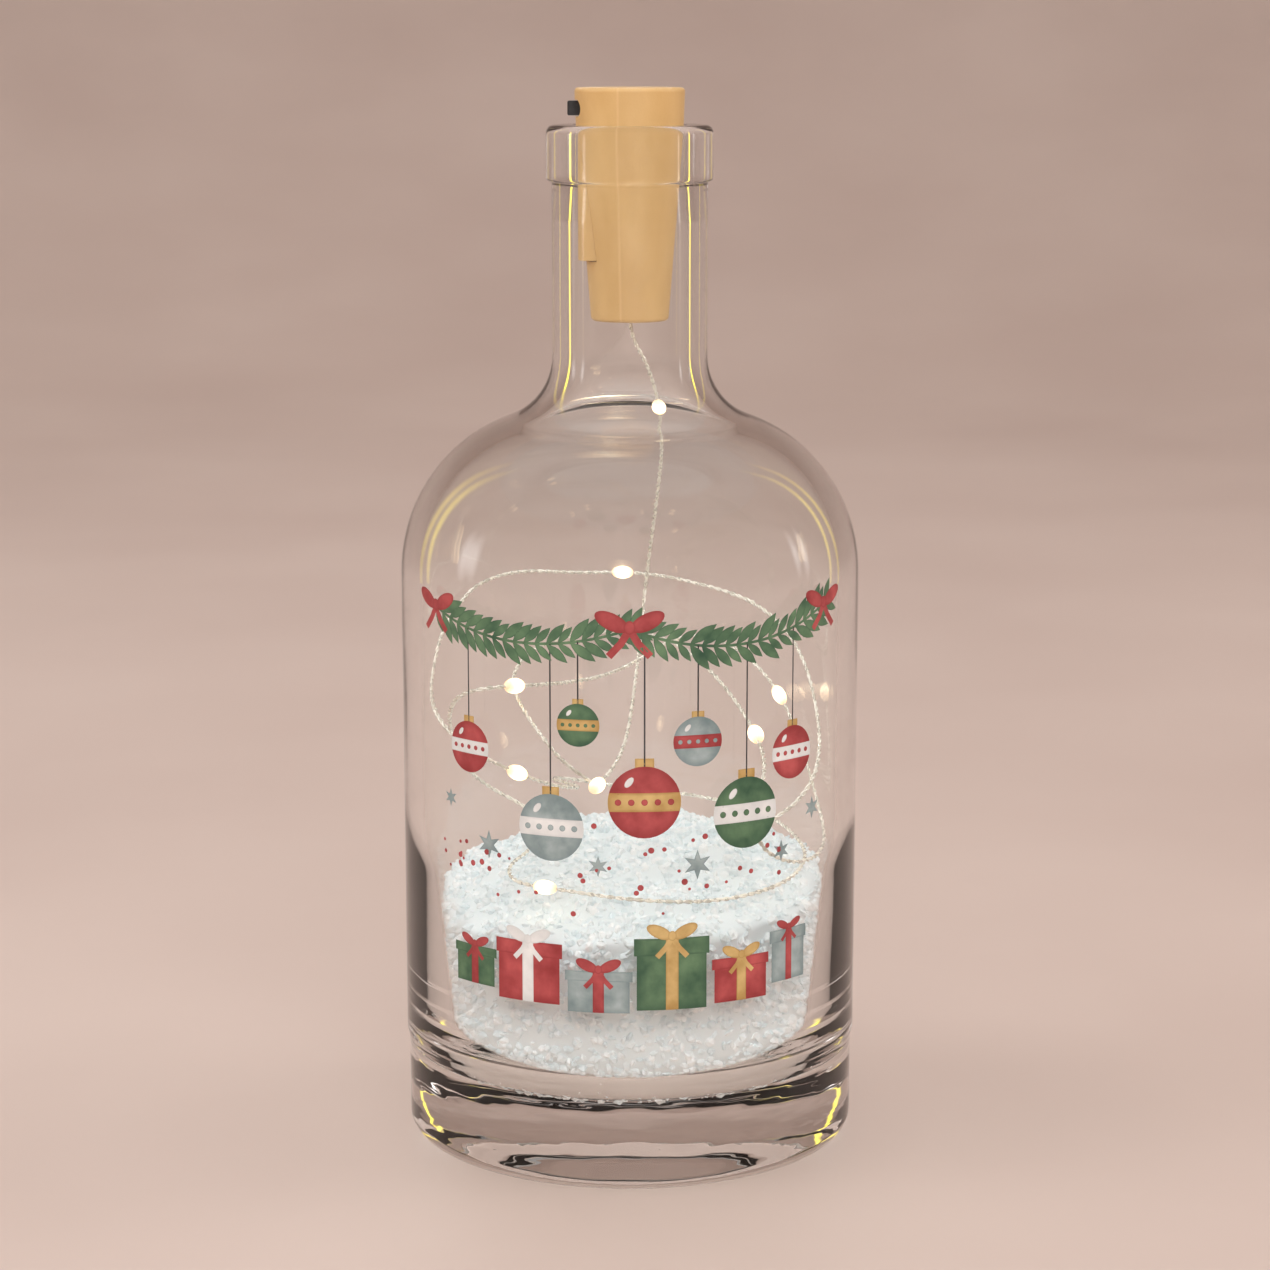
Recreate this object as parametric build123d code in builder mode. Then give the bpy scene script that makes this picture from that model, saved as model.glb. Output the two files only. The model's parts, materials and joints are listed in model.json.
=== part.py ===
from build123d import *
import math
import os

os.makedirs("parts", exist_ok=True)

# Bottle, outside
body_diameter = 84.0
body_height = 105.6
shoulder_radius = 30.0
neck_blend_radius = 12.0
neck_length = 31.2
collar_height = 10.0
collar_proud = 1.0
collar_under_round = 0.7
lip_round = 1.5
heel_inset = 0.45
heel_height = 17.6
heel_step_rise = 2.0
base_edge_round = 3.0
bearing_width = 5.0
punt_depth = 2.4

# Bottle, inside
glass_wall = 3.6
floor_height = 13.0
floor_round = 13.0
heel_inner_inset = 4.6
heel_taper_rise = 44.0
heel_taper_round = 60.0
throat_relief = 0.65
mouth_round = 0.6
mouth_depth = 9.0
mouth_flare = 8.0

# Snow
snow_gap = 0.3
snow_peak_rise = 41.4
snow_crown_radius = 110.0
snow_crown_x = 6.0
snow_crown_y = 8.0
snow_hump_height = 0.45
snow_hump_spacings = (13.1, 10.5, 8.9)
snow_hump_headings = (15, 75, 135)
snow_hump_phases = (40, 130, 250)
snow_grid_step = 2.5
snow_grid_margin = 2.0

# Cells and their tray
cell_diameter = 11.6
cell_height = 5.4
cell_count = 3
cell_cap_diameter = 9.4
cell_cap_height = 0.35
cell_edge_round = 0.3
cell_clearance = 0.15
tray_wall = 0.8
tray_end_wall = 1.0
tray_end_clearance = 0.1
tray_lip = 0.3
spine_gap = 0.5
spine_width = 10.6
spine_rise = 1.3
flange_thickness = 1.1
flange_clearance = 0.1
strip_thickness = 0.3
strip_width = 3.0
strip_bend = 0.45
strip_clearance = 0.15
leaf_height = 1.2
leaf_length = 3.2
leaf_slope_length = 1.6
plate_length = 8.3

# Stopper
stopper_margin = 2.9
stopper_tip_room = 9.7
stopper_tip_round = 0.8
stopper_room_above_cells = 5.4
sleeve_wall = 0.8
sleeve_floor = 1.5
sleeve_clearance = 0.21
slot_clearance = 0.2
mouth_clearance = 0.2
head_exposed = 6.6
head_flare = 0.3
head_edge_round = 0.7
head_wall = 1.05
head_top_wall = 1.3
head_room = 0.2
rim_gap = 0.1
exit_clearance = 0.7

# Circuit board and switch
board_thickness = 0.8
board_clearance = 0.4
resistor_length = 3.2
resistor_width = 1.6
resistor_height = 0.6
resistor_x = 3.6
resistor_y = -3.2
switch_sheet = 0.3
switch_clearance = 0.1
switch_travel = 2.0
switch_end_play = 0.8
switch_base_thickness = 1.3
knob_width = 2.6
knob_height = 2.6
knob_proud = 1.4
knob_foot_depth = 1.2
knob_foot_lap = 0.9
knob_foot_lip = 0.35
knob_foot_clearance = 0.2
knob_clearance = 0.15
knob_edge_round = 0.3
head_slot_end = 2.0
head_slot_margin = 0.2
wiper_width = 1.4
wiper_thickness = 0.3
wiper_reach = 1.1
wiper_gap = 0.05
terminal_count = 3
terminal_pitch = 2.0
terminal_width = 0.7
terminal_thickness = 0.25
terminal_reach = 1.6

# Wires and lights
wire_diameter = 0.8
lead_gap = 0.15
lead_corner_drop = 1.8
lead_tail_rise = 4.2
lead_bend = 2.4
lead_hole_clearance = 0.2
glue_wall = 0.8
glue_height = 1.5
glue_clearance = 0.03
bend_share = 0.45
bead_length = 4.8
bead_diameter = 2.8
chip_length = 2.0
chip_width = 1.1
chip_height = 0.5

# Radii that follow, from the cells outwards to the bottle
wire_r = wire_diameter / 2
cell_r = cell_diameter / 2
tray_bore_r = cell_r + cell_clearance
tray_r = tray_bore_r + tray_wall
end_wall_r = cell_r - tray_end_clearance
lead_x = cell_r + lead_gap + wire_r
shank_r = max(tray_r, lead_x + wire_r) + sleeve_clearance + sleeve_wall
rim_r = tray_r + stopper_margin
head_top_r = rim_r + head_flare
cavity_r = rim_r - head_wall
flange_r = cavity_r - flange_clearance
board_r = cavity_r - board_clearance
mouth_r = rim_r + mouth_clearance
spine_r = mouth_r - spine_gap
neck_bore_r = mouth_r + throat_relief
neck_r = neck_bore_r + glass_wall
collar_r = neck_r + collar_proud
body_r = body_diameter / 2
inner_r = body_r - glass_wall
heel_r = body_r - heel_inset
heel_inner_r = inner_r - heel_inner_inset
bearing_r = heel_r - base_edge_round - bearing_width
exit_hole_r = wire_r + exit_clearance
glue_r = wire_r + glue_wall

# Switch sizes that follow from the knob and its travel
knob_foot_width = knob_width + 2 * knob_foot_lap
knob_foot_height = knob_height + 2 * knob_foot_lip
switch_length = knob_foot_width + switch_travel + 2 * (switch_sheet + switch_end_play)
switch_height = knob_foot_height + 2 * (switch_sheet + knob_foot_clearance)
wiper_depth = wiper_thickness + wiper_reach + wiper_gap
switch_depth = switch_sheet + knob_clearance + knob_foot_depth + wiper_depth + switch_base_thickness
head_slot_length = switch_travel + knob_width + 2 * head_slot_end
head_height = flange_thickness + board_thickness + switch_height + head_room + head_top_wall

# Heights that follow, from the bottle up to the head and down to the stopper's tip
shoulder_turn = math.acos(1 - (body_r - neck_r) / (shoulder_radius + neck_blend_radius))
shoulder_turn_deg = math.degrees(shoulder_turn)
neck_start = body_height + (shoulder_radius + neck_blend_radius) * math.sin(shoulder_turn)
collar_z = neck_start + neck_length
bottle_height = collar_z + collar_height
taper_z = floor_height + heel_taper_rise
top_z = bottle_height + head_exposed
split_z = top_z - head_height
sleeve_top_z = split_z - rim_gap
board_z = split_z + flange_thickness
board_top_z = board_z + board_thickness
knob_z = board_top_z + switch_height / 2
ceiling_z = split_z - stopper_room_above_cells
stack_top_z = ceiling_z - strip_thickness
stack_z = stack_top_z - cell_count * cell_height
tray_floor_z = stack_z - leaf_height
tray_z = tray_floor_z - tray_end_wall
spine_z = tray_z + spine_rise
tip_z = tray_z - stopper_tip_room
sleeve_floor_z = tip_z + sleeve_floor
print("bottle height", round(bottle_height, 2), "stopper tip", round(tip_z, 2), "top", round(top_z, 2))

# The sleeve runs straight from the shank around the tray to the rim, and on down to the tip
stopper_slope = (rim_r - shank_r) / (split_z - tray_z)
tip_r = shank_r - stopper_slope * stopper_tip_room
strip_gap = strip_clearance + strip_thickness / 2
strip_x = -(tray_r + strip_gap + strip_clearance)
tab_y = end_wall_r - strip_gap - strip_clearance

# Places of the switch's pieces along X
switch_front_x = -(math.sqrt(cavity_r ** 2 - (switch_length / 2) ** 2) - switch_clearance)
switch_back_x = switch_front_x + switch_depth
switch_mid_x = (switch_front_x + switch_back_x) / 2
knob_tip_x = -(head_top_r + rim_r) / 2 - knob_proud
knob_rest_y = switch_travel / 2
foot_front_x = switch_front_x + switch_sheet + knob_clearance
foot_back_x = foot_front_x + knob_foot_depth
base_front_x = switch_back_x - switch_base_thickness


def sleeve_radius(z):
    return tip_r + (z - tip_z) * stopper_slope


# Glass bottle, one turned body
with BuildPart() as bottle:
    with BuildSketch(Plane.XZ):
        with BuildLine():
            punt = TangentArc((0, punt_depth), (bearing_r, 0), tangent=(1, 0))
            rest = Line(punt @ 1, (heel_r - base_edge_round, 0))
            edge = TangentArc(rest @ 1, (heel_r, base_edge_round), tangent=(1, 0))
            heel = Line(edge @ 1, (heel_r, heel_height))
            step = Line(heel @ 1, (body_r, heel_height + heel_step_rise))
            side = Line(step @ 1, (body_r, body_height))
            shoulder = JernArc(side @ 1, (0, 1), shoulder_radius, shoulder_turn_deg)
            blend = JernArc(shoulder @ 1, shoulder % 1, neck_blend_radius, -shoulder_turn_deg)
            neck = Line(blend @ 1, (neck_r, collar_z))
            ledge = Line(neck @ 1, (collar_r - collar_under_round, collar_z))
            under = TangentArc(ledge @ 1, (collar_r, collar_z + collar_under_round), tangent=(1, 0))
            collar = Line(under @ 1, (collar_r, bottle_height - lip_round))
            lip = TangentArc(collar @ 1, (collar_r - lip_round, bottle_height), tangent=(0, 1))
            crown = Line(lip @ 1, (mouth_r + mouth_round, bottle_height))
            mouth = TangentArc(crown @ 1, (mouth_r, bottle_height - mouth_round), tangent=(-1, 0))
            bore = Line(mouth @ 1, (mouth_r, bottle_height - mouth_depth))
            flare = Line(bore @ 1, (neck_bore_r, bottle_height - mouth_depth - mouth_flare))
            throat = Line(flare @ 1, (neck_bore_r, neck_start))
            inner_blend = JernArc(throat @ 1, (0, -1), neck_blend_radius + glass_wall, shoulder_turn_deg)
            inner_turn = shoulder_radius - glass_wall
            inner_shoulder = JernArc(inner_blend @ 1, inner_blend % 1, inner_turn, -shoulder_turn_deg)
            bowl = FilletPolyline(
                inner_shoulder @ 1,
                (inner_r, taper_z),
                (heel_inner_r, floor_height),
                (0, floor_height),
                radius=[heel_taper_round, floor_round],
            )
            Line(bowl @ 1, punt @ 0)
        make_face()
    revolve(axis=Axis.Z)
bottle.part.label = "bottle"
export_step(bottle.part, "parts/bottle.step")

# Top of the snow, a wide crown with low humps where three waves cross
snow_floor_z = floor_height + snow_gap
snow_side_r = inner_r - snow_gap
snow_peak_z = floor_height + snow_peak_rise


def snow_height(x, y):
    reach = math.hypot(x - snow_crown_x, y - snow_crown_y)
    height = snow_peak_z - snow_crown_radius + math.sqrt(snow_crown_radius**2 - reach**2)
    for spacing, heading, phase in zip(snow_hump_spacings, snow_hump_headings, snow_hump_phases):
        along = x * math.cos(math.radians(heading)) + y * math.sin(math.radians(heading))
        height += snow_hump_height * math.sin(math.radians(360 * along / spacing + phase))
    return height


snow_grid_count = math.ceil((inner_r + snow_grid_margin) / snow_grid_step)
snow_stations = [step * snow_grid_step for step in range(-snow_grid_count, snow_grid_count + 1)]
snow_rows = [[Vector(x, y, snow_height(x, y)) for y in snow_stations] for x in snow_stations]
snow_top = Face.make_surface_from_array_of_points(snow_rows)

# Snow in the bottle's bottom, under that top
with BuildPart() as snow_fill:
    with BuildSketch(Plane.XZ):
        with BuildLine():
            snow_bowl = FilletPolyline(
                (0, snow_floor_z),
                (heel_inner_r - snow_gap, snow_floor_z),
                (snow_side_r, taper_z),
                (snow_side_r, body_height),
                radius=[floor_round - snow_gap, heel_taper_round + snow_gap],
            )
            Polyline(snow_bowl @ 1, (0, body_height), snow_bowl @ 0)
        make_face()
    revolve(axis=Axis.Z)
    extrude(snow_top, amount=body_height, dir=(0, 0, 1), mode=Mode.SUBTRACT)
snow_fill.part.label = "snow_fill"
export_step(snow_fill.part, "parts/snow_fill.step")

# Stopper sleeve, a tapered shell with the tray's slot and the wire hole
sleeve_top_r = sleeve_radius(sleeve_top_z)
with BuildPart() as stopper_sleeve:
    with BuildSketch(Plane.XZ):
        with BuildLine():
            shell = FilletPolyline(
                (0, tip_z),
                (tip_r, tip_z),
                (sleeve_top_r, sleeve_top_z),
                radius=[stopper_tip_round],
            )
            Polyline(
                shell @ 1,
                (sleeve_top_r - sleeve_wall, sleeve_top_z),
                (sleeve_radius(sleeve_floor_z) - sleeve_wall, sleeve_floor_z),
                (0, sleeve_floor_z),
                shell @ 0,
            )
        make_face()
    revolve(axis=Axis.Z)
    with BuildSketch(Plane.XY.offset(spine_z - slot_clearance)):
        with Locations((-head_top_r / 2 - tray_bore_r / 2, 0)):
            Rectangle(head_top_r, spine_width + 2 * slot_clearance)
    extrude(amount=top_z - spine_z, mode=Mode.SUBTRACT)
    with BuildSketch(Plane.XY.offset(tip_z)):
        Circle(exit_hole_r)
    extrude(amount=sleeve_floor, mode=Mode.SUBTRACT)
stopper_sleeve.part.label = "stopper_sleeve"
export_step(stopper_sleeve.part, "parts/stopper_sleeve.step")

# Stopper head, a cup over the board and the switch
with BuildPart() as stopper_head:
    with BuildSketch(Plane.XZ):
        with BuildLine():
            cap = FilletPolyline(
                (rim_r, split_z),
                (head_top_r, top_z),
                (0, top_z),
                radius=[head_edge_round],
            )
            Polyline(
                cap @ 1,
                (0, top_z - head_top_wall),
                (cavity_r, top_z - head_top_wall),
                (cavity_r, split_z),
                cap @ 0,
            )
        make_face()
    revolve(axis=Axis.Z)
    with BuildSketch(Plane.YZ.offset(switch_front_x)):
        with Locations((0, knob_z)):
            SlotOverall(head_slot_length, knob_height + 2 * head_slot_margin)
    extrude(amount=-head_top_r, mode=Mode.SUBTRACT)
stopper_head.part.label = "stopper_head"
export_step(stopper_head.part, "parts/stopper_head.step")

# Battery tray: flange, half pipe, end walls and the spine in the sleeve's slot
groove_depth = strip_thickness + 2 * strip_clearance
groove_width = strip_width + 2 * strip_clearance
with BuildPart() as battery_tray:
    with BuildSketch(Plane.XY.offset(tray_z)):
        Circle(tray_r)
        Circle(tray_bore_r, mode=Mode.SUBTRACT)
        with Locations((tray_lip - tray_r, 0)):
            Rectangle(2 * tray_r, 2 * tray_r, mode=Mode.INTERSECT)
    extrude(amount=split_z - tray_z)
    with BuildSketch(Plane.XY.offset(tray_z)):
        Circle(end_wall_r)
        with Locations((-tray_bore_r / 2, 0)):
            Rectangle(tray_bore_r, tray_bore_r * 2)
        Circle(tray_bore_r, mode=Mode.INTERSECT)
    extrude(amount=tray_end_wall)
    with BuildSketch(Plane.XY.offset(ceiling_z)):
        Circle(end_wall_r)
        with Locations((-tray_bore_r / 2, 0)):
            Rectangle(tray_bore_r, tray_bore_r * 2)
        Circle(tray_bore_r, mode=Mode.INTERSECT)
    extrude(amount=tray_end_wall)
    with BuildSketch(Plane.XY.offset(spine_z)):
        Circle(spine_r)
        with Locations((-spine_r, 0)):
            Rectangle(2 * spine_r, spine_width, mode=Mode.INTERSECT)
        Circle(tray_r - tray_wall / 2, mode=Mode.SUBTRACT)
    extrude(amount=split_z - spine_z)
    with BuildSketch(Plane.XY.offset(split_z)):
        Circle(flange_r)
    extrude(amount=flange_thickness)
    with BuildSketch(Plane.XY.offset(tray_floor_z)):
        with Locations((strip_x, 0)):
            Rectangle(groove_depth, groove_width)
    extrude(amount=board_z - tray_floor_z, mode=Mode.SUBTRACT)
    with BuildSketch(Plane.XY.offset(tray_floor_z)):
        with Locations((strip_x / 2 - tray_bore_r / 2, 0)):
            Rectangle(-strip_x - tray_bore_r + groove_depth, groove_width)
    extrude(amount=groove_depth, mode=Mode.SUBTRACT)
    with BuildSketch(Plane.XY.offset(ceiling_z)):
        with Locations((0, tab_y)):
            Rectangle(groove_width, groove_depth)
    extrude(amount=board_z - ceiling_z, mode=Mode.SUBTRACT)
    with BuildSketch(Plane.XY.offset(split_z)):
        with Locations((lead_x, 0)):
            Circle(wire_r + lead_hole_clearance)
    extrude(amount=flange_thickness, mode=Mode.SUBTRACT)
battery_tray.part.label = "battery_tray"
export_step(battery_tray.part, "parts/battery_tray.step")

# Button cells, each a can with its smaller cap below
for number in range(cell_count):
    cell_z = stack_z + number * cell_height
    with BuildPart() as button_cell:
        with BuildSketch(Plane.XY.offset(cell_z)):
            Circle(cell_cap_diameter / 2)
        extrude(amount=cell_cap_height)
        with BuildSketch(Plane.XY.offset(cell_z + cell_cap_height)):
            Circle(cell_r)
        extrude(amount=cell_height - cell_cap_height)
        fillet(button_cell.edges().filter_by(GeomType.CIRCLE).group_by(Axis.Z)[-1], cell_edge_round)
    button_cell.part.label = "button_cell_%d" % (number + 1)
    export_step(button_cell.part, "parts/button_cell_%d.step" % (number + 1))

# Sprung leaf under the stack, with its strip up the spine to the board
leaf_base_z = tray_floor_z + strip_thickness / 2
leaf_tip_z = stack_z - strip_thickness / 2
with BuildPart() as negative_contact:
    with BuildSketch(Plane.XZ):
        with BuildLine() as leaf_line:
            FilletPolyline(
                (leaf_length / 2, leaf_tip_z),
                (-leaf_length / 2, leaf_tip_z),
                (-leaf_length / 2 - leaf_slope_length, leaf_base_z),
                (strip_x, leaf_base_z),
                (strip_x, board_z),
                radius=strip_bend,
            )
        trace(line_width=strip_thickness)
    extrude(amount=strip_width / 2, both=True)
negative_contact.part.label = "negative_contact"
export_step(negative_contact.part, "parts/negative_contact.step")

# Plate on top of the stack, with its tab up to the board
plate_z = stack_top_z + strip_thickness / 2
with BuildPart() as positive_contact:
    with BuildSketch(Plane.YZ):
        with BuildLine() as plate_line:
            FilletPolyline(
                (tab_y - plate_length, plate_z),
                (tab_y, plate_z),
                (tab_y, board_z),
                radius=strip_bend,
            )
        trace(line_width=strip_thickness)
    extrude(amount=strip_width / 2, both=True)
positive_contact.part.label = "positive_contact"
export_step(positive_contact.part, "parts/positive_contact.step")

# Circuit board on the flange
with BuildPart() as circuit_board:
    with BuildSketch(Plane.XY.offset(board_z)):
        Circle(board_r)
    extrude(amount=board_thickness)
circuit_board.part.label = "circuit_board"
export_step(circuit_board.part, "parts/circuit_board.step")

# Resistor on the board
with BuildPart() as chip_resistor:
    with BuildSketch(Plane.XY.offset(board_top_z)):
        with Locations((resistor_x, resistor_y)):
            Rectangle(resistor_width, resistor_length)
    extrude(amount=resistor_height)
chip_resistor.part.label = "chip_resistor"
export_step(chip_resistor.part, "parts/chip_resistor.step")

# Switch frame, a folded sheet box that is open at the back
slot_half = switch_travel / 2 + knob_width / 2 + knob_clearance
with BuildPart() as switch_shell:
    with BuildSketch(Plane.XY.offset(board_top_z)):
        with Locations((switch_mid_x, 0)):
            Rectangle(switch_depth, switch_length)
    extrude(amount=switch_height)
    with BuildSketch(Plane.XY.offset(board_top_z + switch_sheet)):
        with Locations((switch_mid_x + switch_sheet, 0)):
            Rectangle(switch_depth, switch_length - 2 * switch_sheet)
    extrude(amount=switch_height - 2 * switch_sheet, mode=Mode.SUBTRACT)
    with BuildSketch(Plane.YZ.offset(switch_front_x)):
        with Locations((0, knob_z)):
            Rectangle(2 * slot_half, knob_height + 2 * knob_clearance)
    extrude(amount=switch_sheet, mode=Mode.SUBTRACT)
switch_shell.part.label = "switch_shell"
export_step(switch_shell.part, "parts/switch_shell.step")

# Switch back, with the three legs through it
with BuildPart() as switch_base:
    with BuildSketch(Plane.YZ.offset(base_front_x)):
        with Locations((0, knob_z)):
            Rectangle(switch_length - 2 * switch_sheet, switch_height - 2 * switch_sheet)
        with Locations((0, knob_z)):
            with GridLocations(terminal_pitch, 0, terminal_count, 1):
                Rectangle(terminal_width, terminal_thickness, mode=Mode.SUBTRACT)
    extrude(amount=switch_base_thickness)
switch_base.part.label = "switch_base"
export_step(switch_base.part, "parts/switch_base.step")

# Switch legs, bent down to the board
leg_foot_z = board_top_z + terminal_thickness / 2
with BuildPart() as switch_terminals:
    for number in range(terminal_count):
        leg_y = (number - (terminal_count - 1) / 2) * terminal_pitch
        with BuildSketch(Plane.XZ.offset(-leg_y)):
            with BuildLine() as leg_line:
                FilletPolyline(
                    (base_front_x, knob_z),
                    (switch_back_x + terminal_reach / 2, knob_z),
                    (switch_back_x + terminal_reach / 2, leg_foot_z),
                    (switch_back_x + terminal_reach, leg_foot_z),
                    radius=terminal_thickness,
                )
            trace(line_width=terminal_thickness)
        extrude(amount=terminal_width / 2, both=True)
switch_terminals.part.label = "switch_terminals"
export_step(switch_terminals.part, "parts/switch_terminals.step")

# Knob of the switch: foot inside the frame, stem out through the head
with BuildPart() as switch_knob:
    with BuildSketch(Plane.YZ.offset(foot_front_x)):
        with Locations((knob_rest_y, knob_z)):
            Rectangle(knob_foot_width, knob_foot_height)
    extrude(amount=knob_foot_depth)
    with BuildSketch(Plane.YZ.offset(knob_tip_x)):
        with Locations((knob_rest_y, knob_z)):
            Rectangle(knob_width, knob_height)
    extrude(amount=foot_front_x - knob_tip_x)
    fillet(switch_knob.edges().group_by(Axis.X)[0], knob_edge_round)
switch_knob.part.label = "switch_knob"
export_step(switch_knob.part, "parts/switch_knob.step")

# Bridge contact on the knob's back
with BuildPart() as switch_wiper:
    with BuildSketch(Plane.YZ.offset(foot_back_x)):
        with Locations((knob_rest_y, knob_z)):
            Rectangle(knob_foot_width - terminal_width, wiper_width)
    extrude(amount=wiper_thickness)
    with BuildSketch(Plane.YZ.offset(foot_back_x + wiper_thickness)):
        with Locations((knob_rest_y, knob_z)):
            with GridLocations(terminal_pitch, 0, 2, 1):
                Circle(terminal_width / 2)
    extrude(amount=wiper_reach)
switch_wiper.part.label = "switch_wiper"
export_step(switch_wiper.part, "parts/switch_wiper.step")

# Lead from the board down the tray's open side to the hole in the sleeve
with BuildPart() as lead_wire:
    with BuildLine() as lead_line:
        FilletPolyline(
            (lead_x, 0, board_z),
            (lead_x, 0, tray_z - lead_corner_drop),
            (0, 0, tip_z + lead_tail_rise),
            (0, 0, tip_z),
            radius=lead_bend,
        )
    with BuildSketch(Plane(origin=(lead_x, 0, board_z), z_dir=(0, 0, -1))):
        Circle(wire_r)
    sweep(path=lead_line.wires()[0])
lead_wire.part.label = "lead_wire"
export_step(lead_wire.part, "parts/lead_wire.step")

# Glue around the lead under the flange
with BuildPart() as lead_glue:
    with BuildSketch(Plane.XY.offset(split_z - glue_height)):
        with Locations((lead_x, 0)):
            Circle(glue_r)
            Circle(wire_r + glue_clearance, mode=Mode.SUBTRACT)
    extrude(amount=glue_height)
lead_glue.part.label = "lead_glue"
export_step(lead_glue.part, "parts/lead_glue.step")

# Route of the light string, chosen by hand for a bottle of the cage radius below
cage_radius = 38.4
cage_exit_z = 151.5
drop_points = [
    (0.0, 0.0, 151.5), (0.3, 0.4, 148.2), (3.0, 2.0, 143.7), (4.8, 4.0, 137.8),
    (6.1, 7.0, 129.8), (5.4, 13.5, 119.2), (4.0, 22.5, 107.4), (2.9, 27.5, 95.8),
    (1.9, 23.0, 86.6), (0.8, 9.5, 80.8), (-0.3, -6.0, 76.1), (-2.5, -18.5, 72.6),
    (-5.7, -25.5, 70.9),
]
loop_points = [
    (-5.7, -25.5, 70.9), (-10.8, -27.5, 74.7), (-15.0, -26.5, 79.7), (-19.1, -21.5, 84.5),
    (-21.4, -13.0, 88.0), (-18.7, -4.0, 91.1), (-13.0, 3.0, 92.4), (-5.6, 8.0, 92.6),
    (2.1, 10.0, 92.0), (9.4, 9.0, 90.1), (15.5, 5.0, 85.5), (20.0, -2.0, 80.9),
    (23.2, -11.0, 76.6), (24.0, -20.5, 72.8), (21.5, -28.0, 67.4), (22.0, -29.8, 60.6),
    (27.8, -25.0, 56.2), (33.4, -15.5, 55.0), (36.4, -4.5, 56.0), (36.6, 6.0, 59.8),
    (34.8, 13.0, 66.2), (32.6, 17.4, 72.2), (29.8, 21.0, 77.7), (26.2, 25.8, 81.7),
    (20.8, 29.5, 85.6), (13.8, 31.5, 87.9), (6.8, 25.5, 87.0), (0.8, 13.5, 85.4),
    (-5.2, 3.0, 84.9), (-11.7, -7.5, 85.9), (-17.3, -17.5, 87.5), (-22.2, -25.3, 88.9),
    (-29.2, -23.4, 87.4), (-32.0, -15.5, 81.5), (-32.4, -6.0, 74.5), (-31.8, 4.0, 67.8),
    (-27.6, 11.5, 61.8), (-20.5, 12.0, 58.2), (-16.4, 4.5, 56.4), (-17.6, -6.5, 54.8),
    (-22.0, -16.5, 53.4), (-20.5, -25.5, 52.8), (-13.7, -29.5, 52.8), (0.5, -32.3, 51.2),
    (15.5, -31.4, 50.8), (27.6, -22.4, 51.6), (33.0, -9.0, 53.0), (31.5, 6.0, 54.6),
    (25.0, 19.5, 55.6), (13.0, 28.5, 56.2), (-2.0, 30.5, 57.4), (-13.0, 25.0, 60.4),
    (-15.5, 13.5, 63.0), (-10.5, 3.5, 64.2), (-9.2, -6.5, 65.8), (-14.2, -14.5, 68.3),
    (-20.5, -20.5, 72.3), (-26.4, -23.0, 76.0), (-31.7, -19.3, 79.6), (-35.5, -11.0, 83.7),
    (-36.8, -1.0, 87.6), (-35.9, 9.4, 93.6), (-32.4, 18.3, 97.8), (-27.0, 25.3, 99.9),
    (-20.0, 31.0, 100.2), (-11.0, 35.1, 98.9), (-1.0, 36.6, 99.1), (8.2, 35.9, 98.0),
    (16.6, 33.0, 96.3), (24.0, 28.0, 94.6), (29.9, 21.5, 92.0), (33.7, 13.8, 86.8),
    (35.4, 5.0, 80.4), (35.2, -5.0, 74.2), (32.4, -14.5, 68.8), (27.0, -21.5, 64.6),
    (20.0, -25.0, 61.6),
]
drop_stations = [20.5]
loop_stations = [0.0, 101.0, 194.0, 279.5, 386.0, 476.0, 567.5, 663.5, 759.0]


def placed(points, foot_z, scale_z):
    """Fit the chosen points to the bottle's own radius, and the drop to the sleeve's height."""
    across = inner_r / cage_radius
    return [Vector(x * across, y * across, foot_z + (z - foot_z) * scale_z) for x, y, z in points]


def bend_radii(points):
    """Give each corner the arc that uses a fixed share of its shorter run."""
    radii = []
    for before, corner, after in zip(points, points[1:], points[2:]):
        run_in = corner - before
        run_out = after - corner
        turn = math.radians(run_in.get_angle(run_out))
        radii.append(bend_share * min(run_in.length, run_out.length) / math.tan(turn / 2))
    return radii


foot_z = drop_points[-1][2]
drop_route = placed(drop_points, foot_z, (tip_z - foot_z) / (cage_exit_z - foot_z))
loop_route = placed(loop_points, foot_z, 1.0)
drop_radii = bend_radii(drop_route)
loop_radii = bend_radii(loop_route)
print("drop radii", [round(value, 1) for value in drop_radii])
print("loop radii", [round(value, 1) for value in loop_radii])

# Free drop of the string, from the sleeve to the second light
with BuildPart() as string_drop:
    with BuildLine() as drop_line:
        FilletPolyline(*drop_route, radius=drop_radii)
    drop_path = drop_line.wires()[0]
    with BuildSketch(Plane(origin=drop_path @ 0, z_dir=drop_path % 0)):
        Circle(wire_r)
    sweep(path=drop_path)
string_drop.part.label = "string_drop"
export_step(string_drop.part, "parts/string_drop.step")

# Loops of the string in the bottle
with BuildPart() as string_loops:
    with BuildLine() as loop_line:
        FilletPolyline(*loop_route, radius=loop_radii)
    loop_path = loop_line.wires()[0]
    with BuildSketch(Plane(origin=loop_path @ 0, z_dir=loop_path % 0)):
        Circle(wire_r)
    sweep(path=loop_path)
string_loops.part.label = "string_loops"
export_step(string_loops.part, "parts/string_loops.step")

for name, tube, path in (("drop", string_drop, drop_path), ("loops", string_loops, loop_path)):
    expected = math.pi * wire_r ** 2 * path.length
    share = tube.part.volume / expected
    print(name, "length", round(path.length, 1), "volume over section times length", round(share, 4))

# Least gap of the string to itself, on points one diameter apart
samples = []
reach = 0.0
for path in (drop_path, loop_path):
    count = int(path.length / wire_diameter)
    for step_number in range(count):
        samples.append((reach + step_number * wire_diameter, path @ (step_number / count)))
    reach += path.length
least_gap = body_diameter
for first, (first_s, first_p) in enumerate(samples):
    for second_s, second_p in samples[first + 1:]:
        if second_s - first_s > bead_length:
            least_gap = min(least_gap, (second_p - first_p).length - wire_diameter)
print("least gap of the string to itself", round(least_gap, 2))

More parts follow.
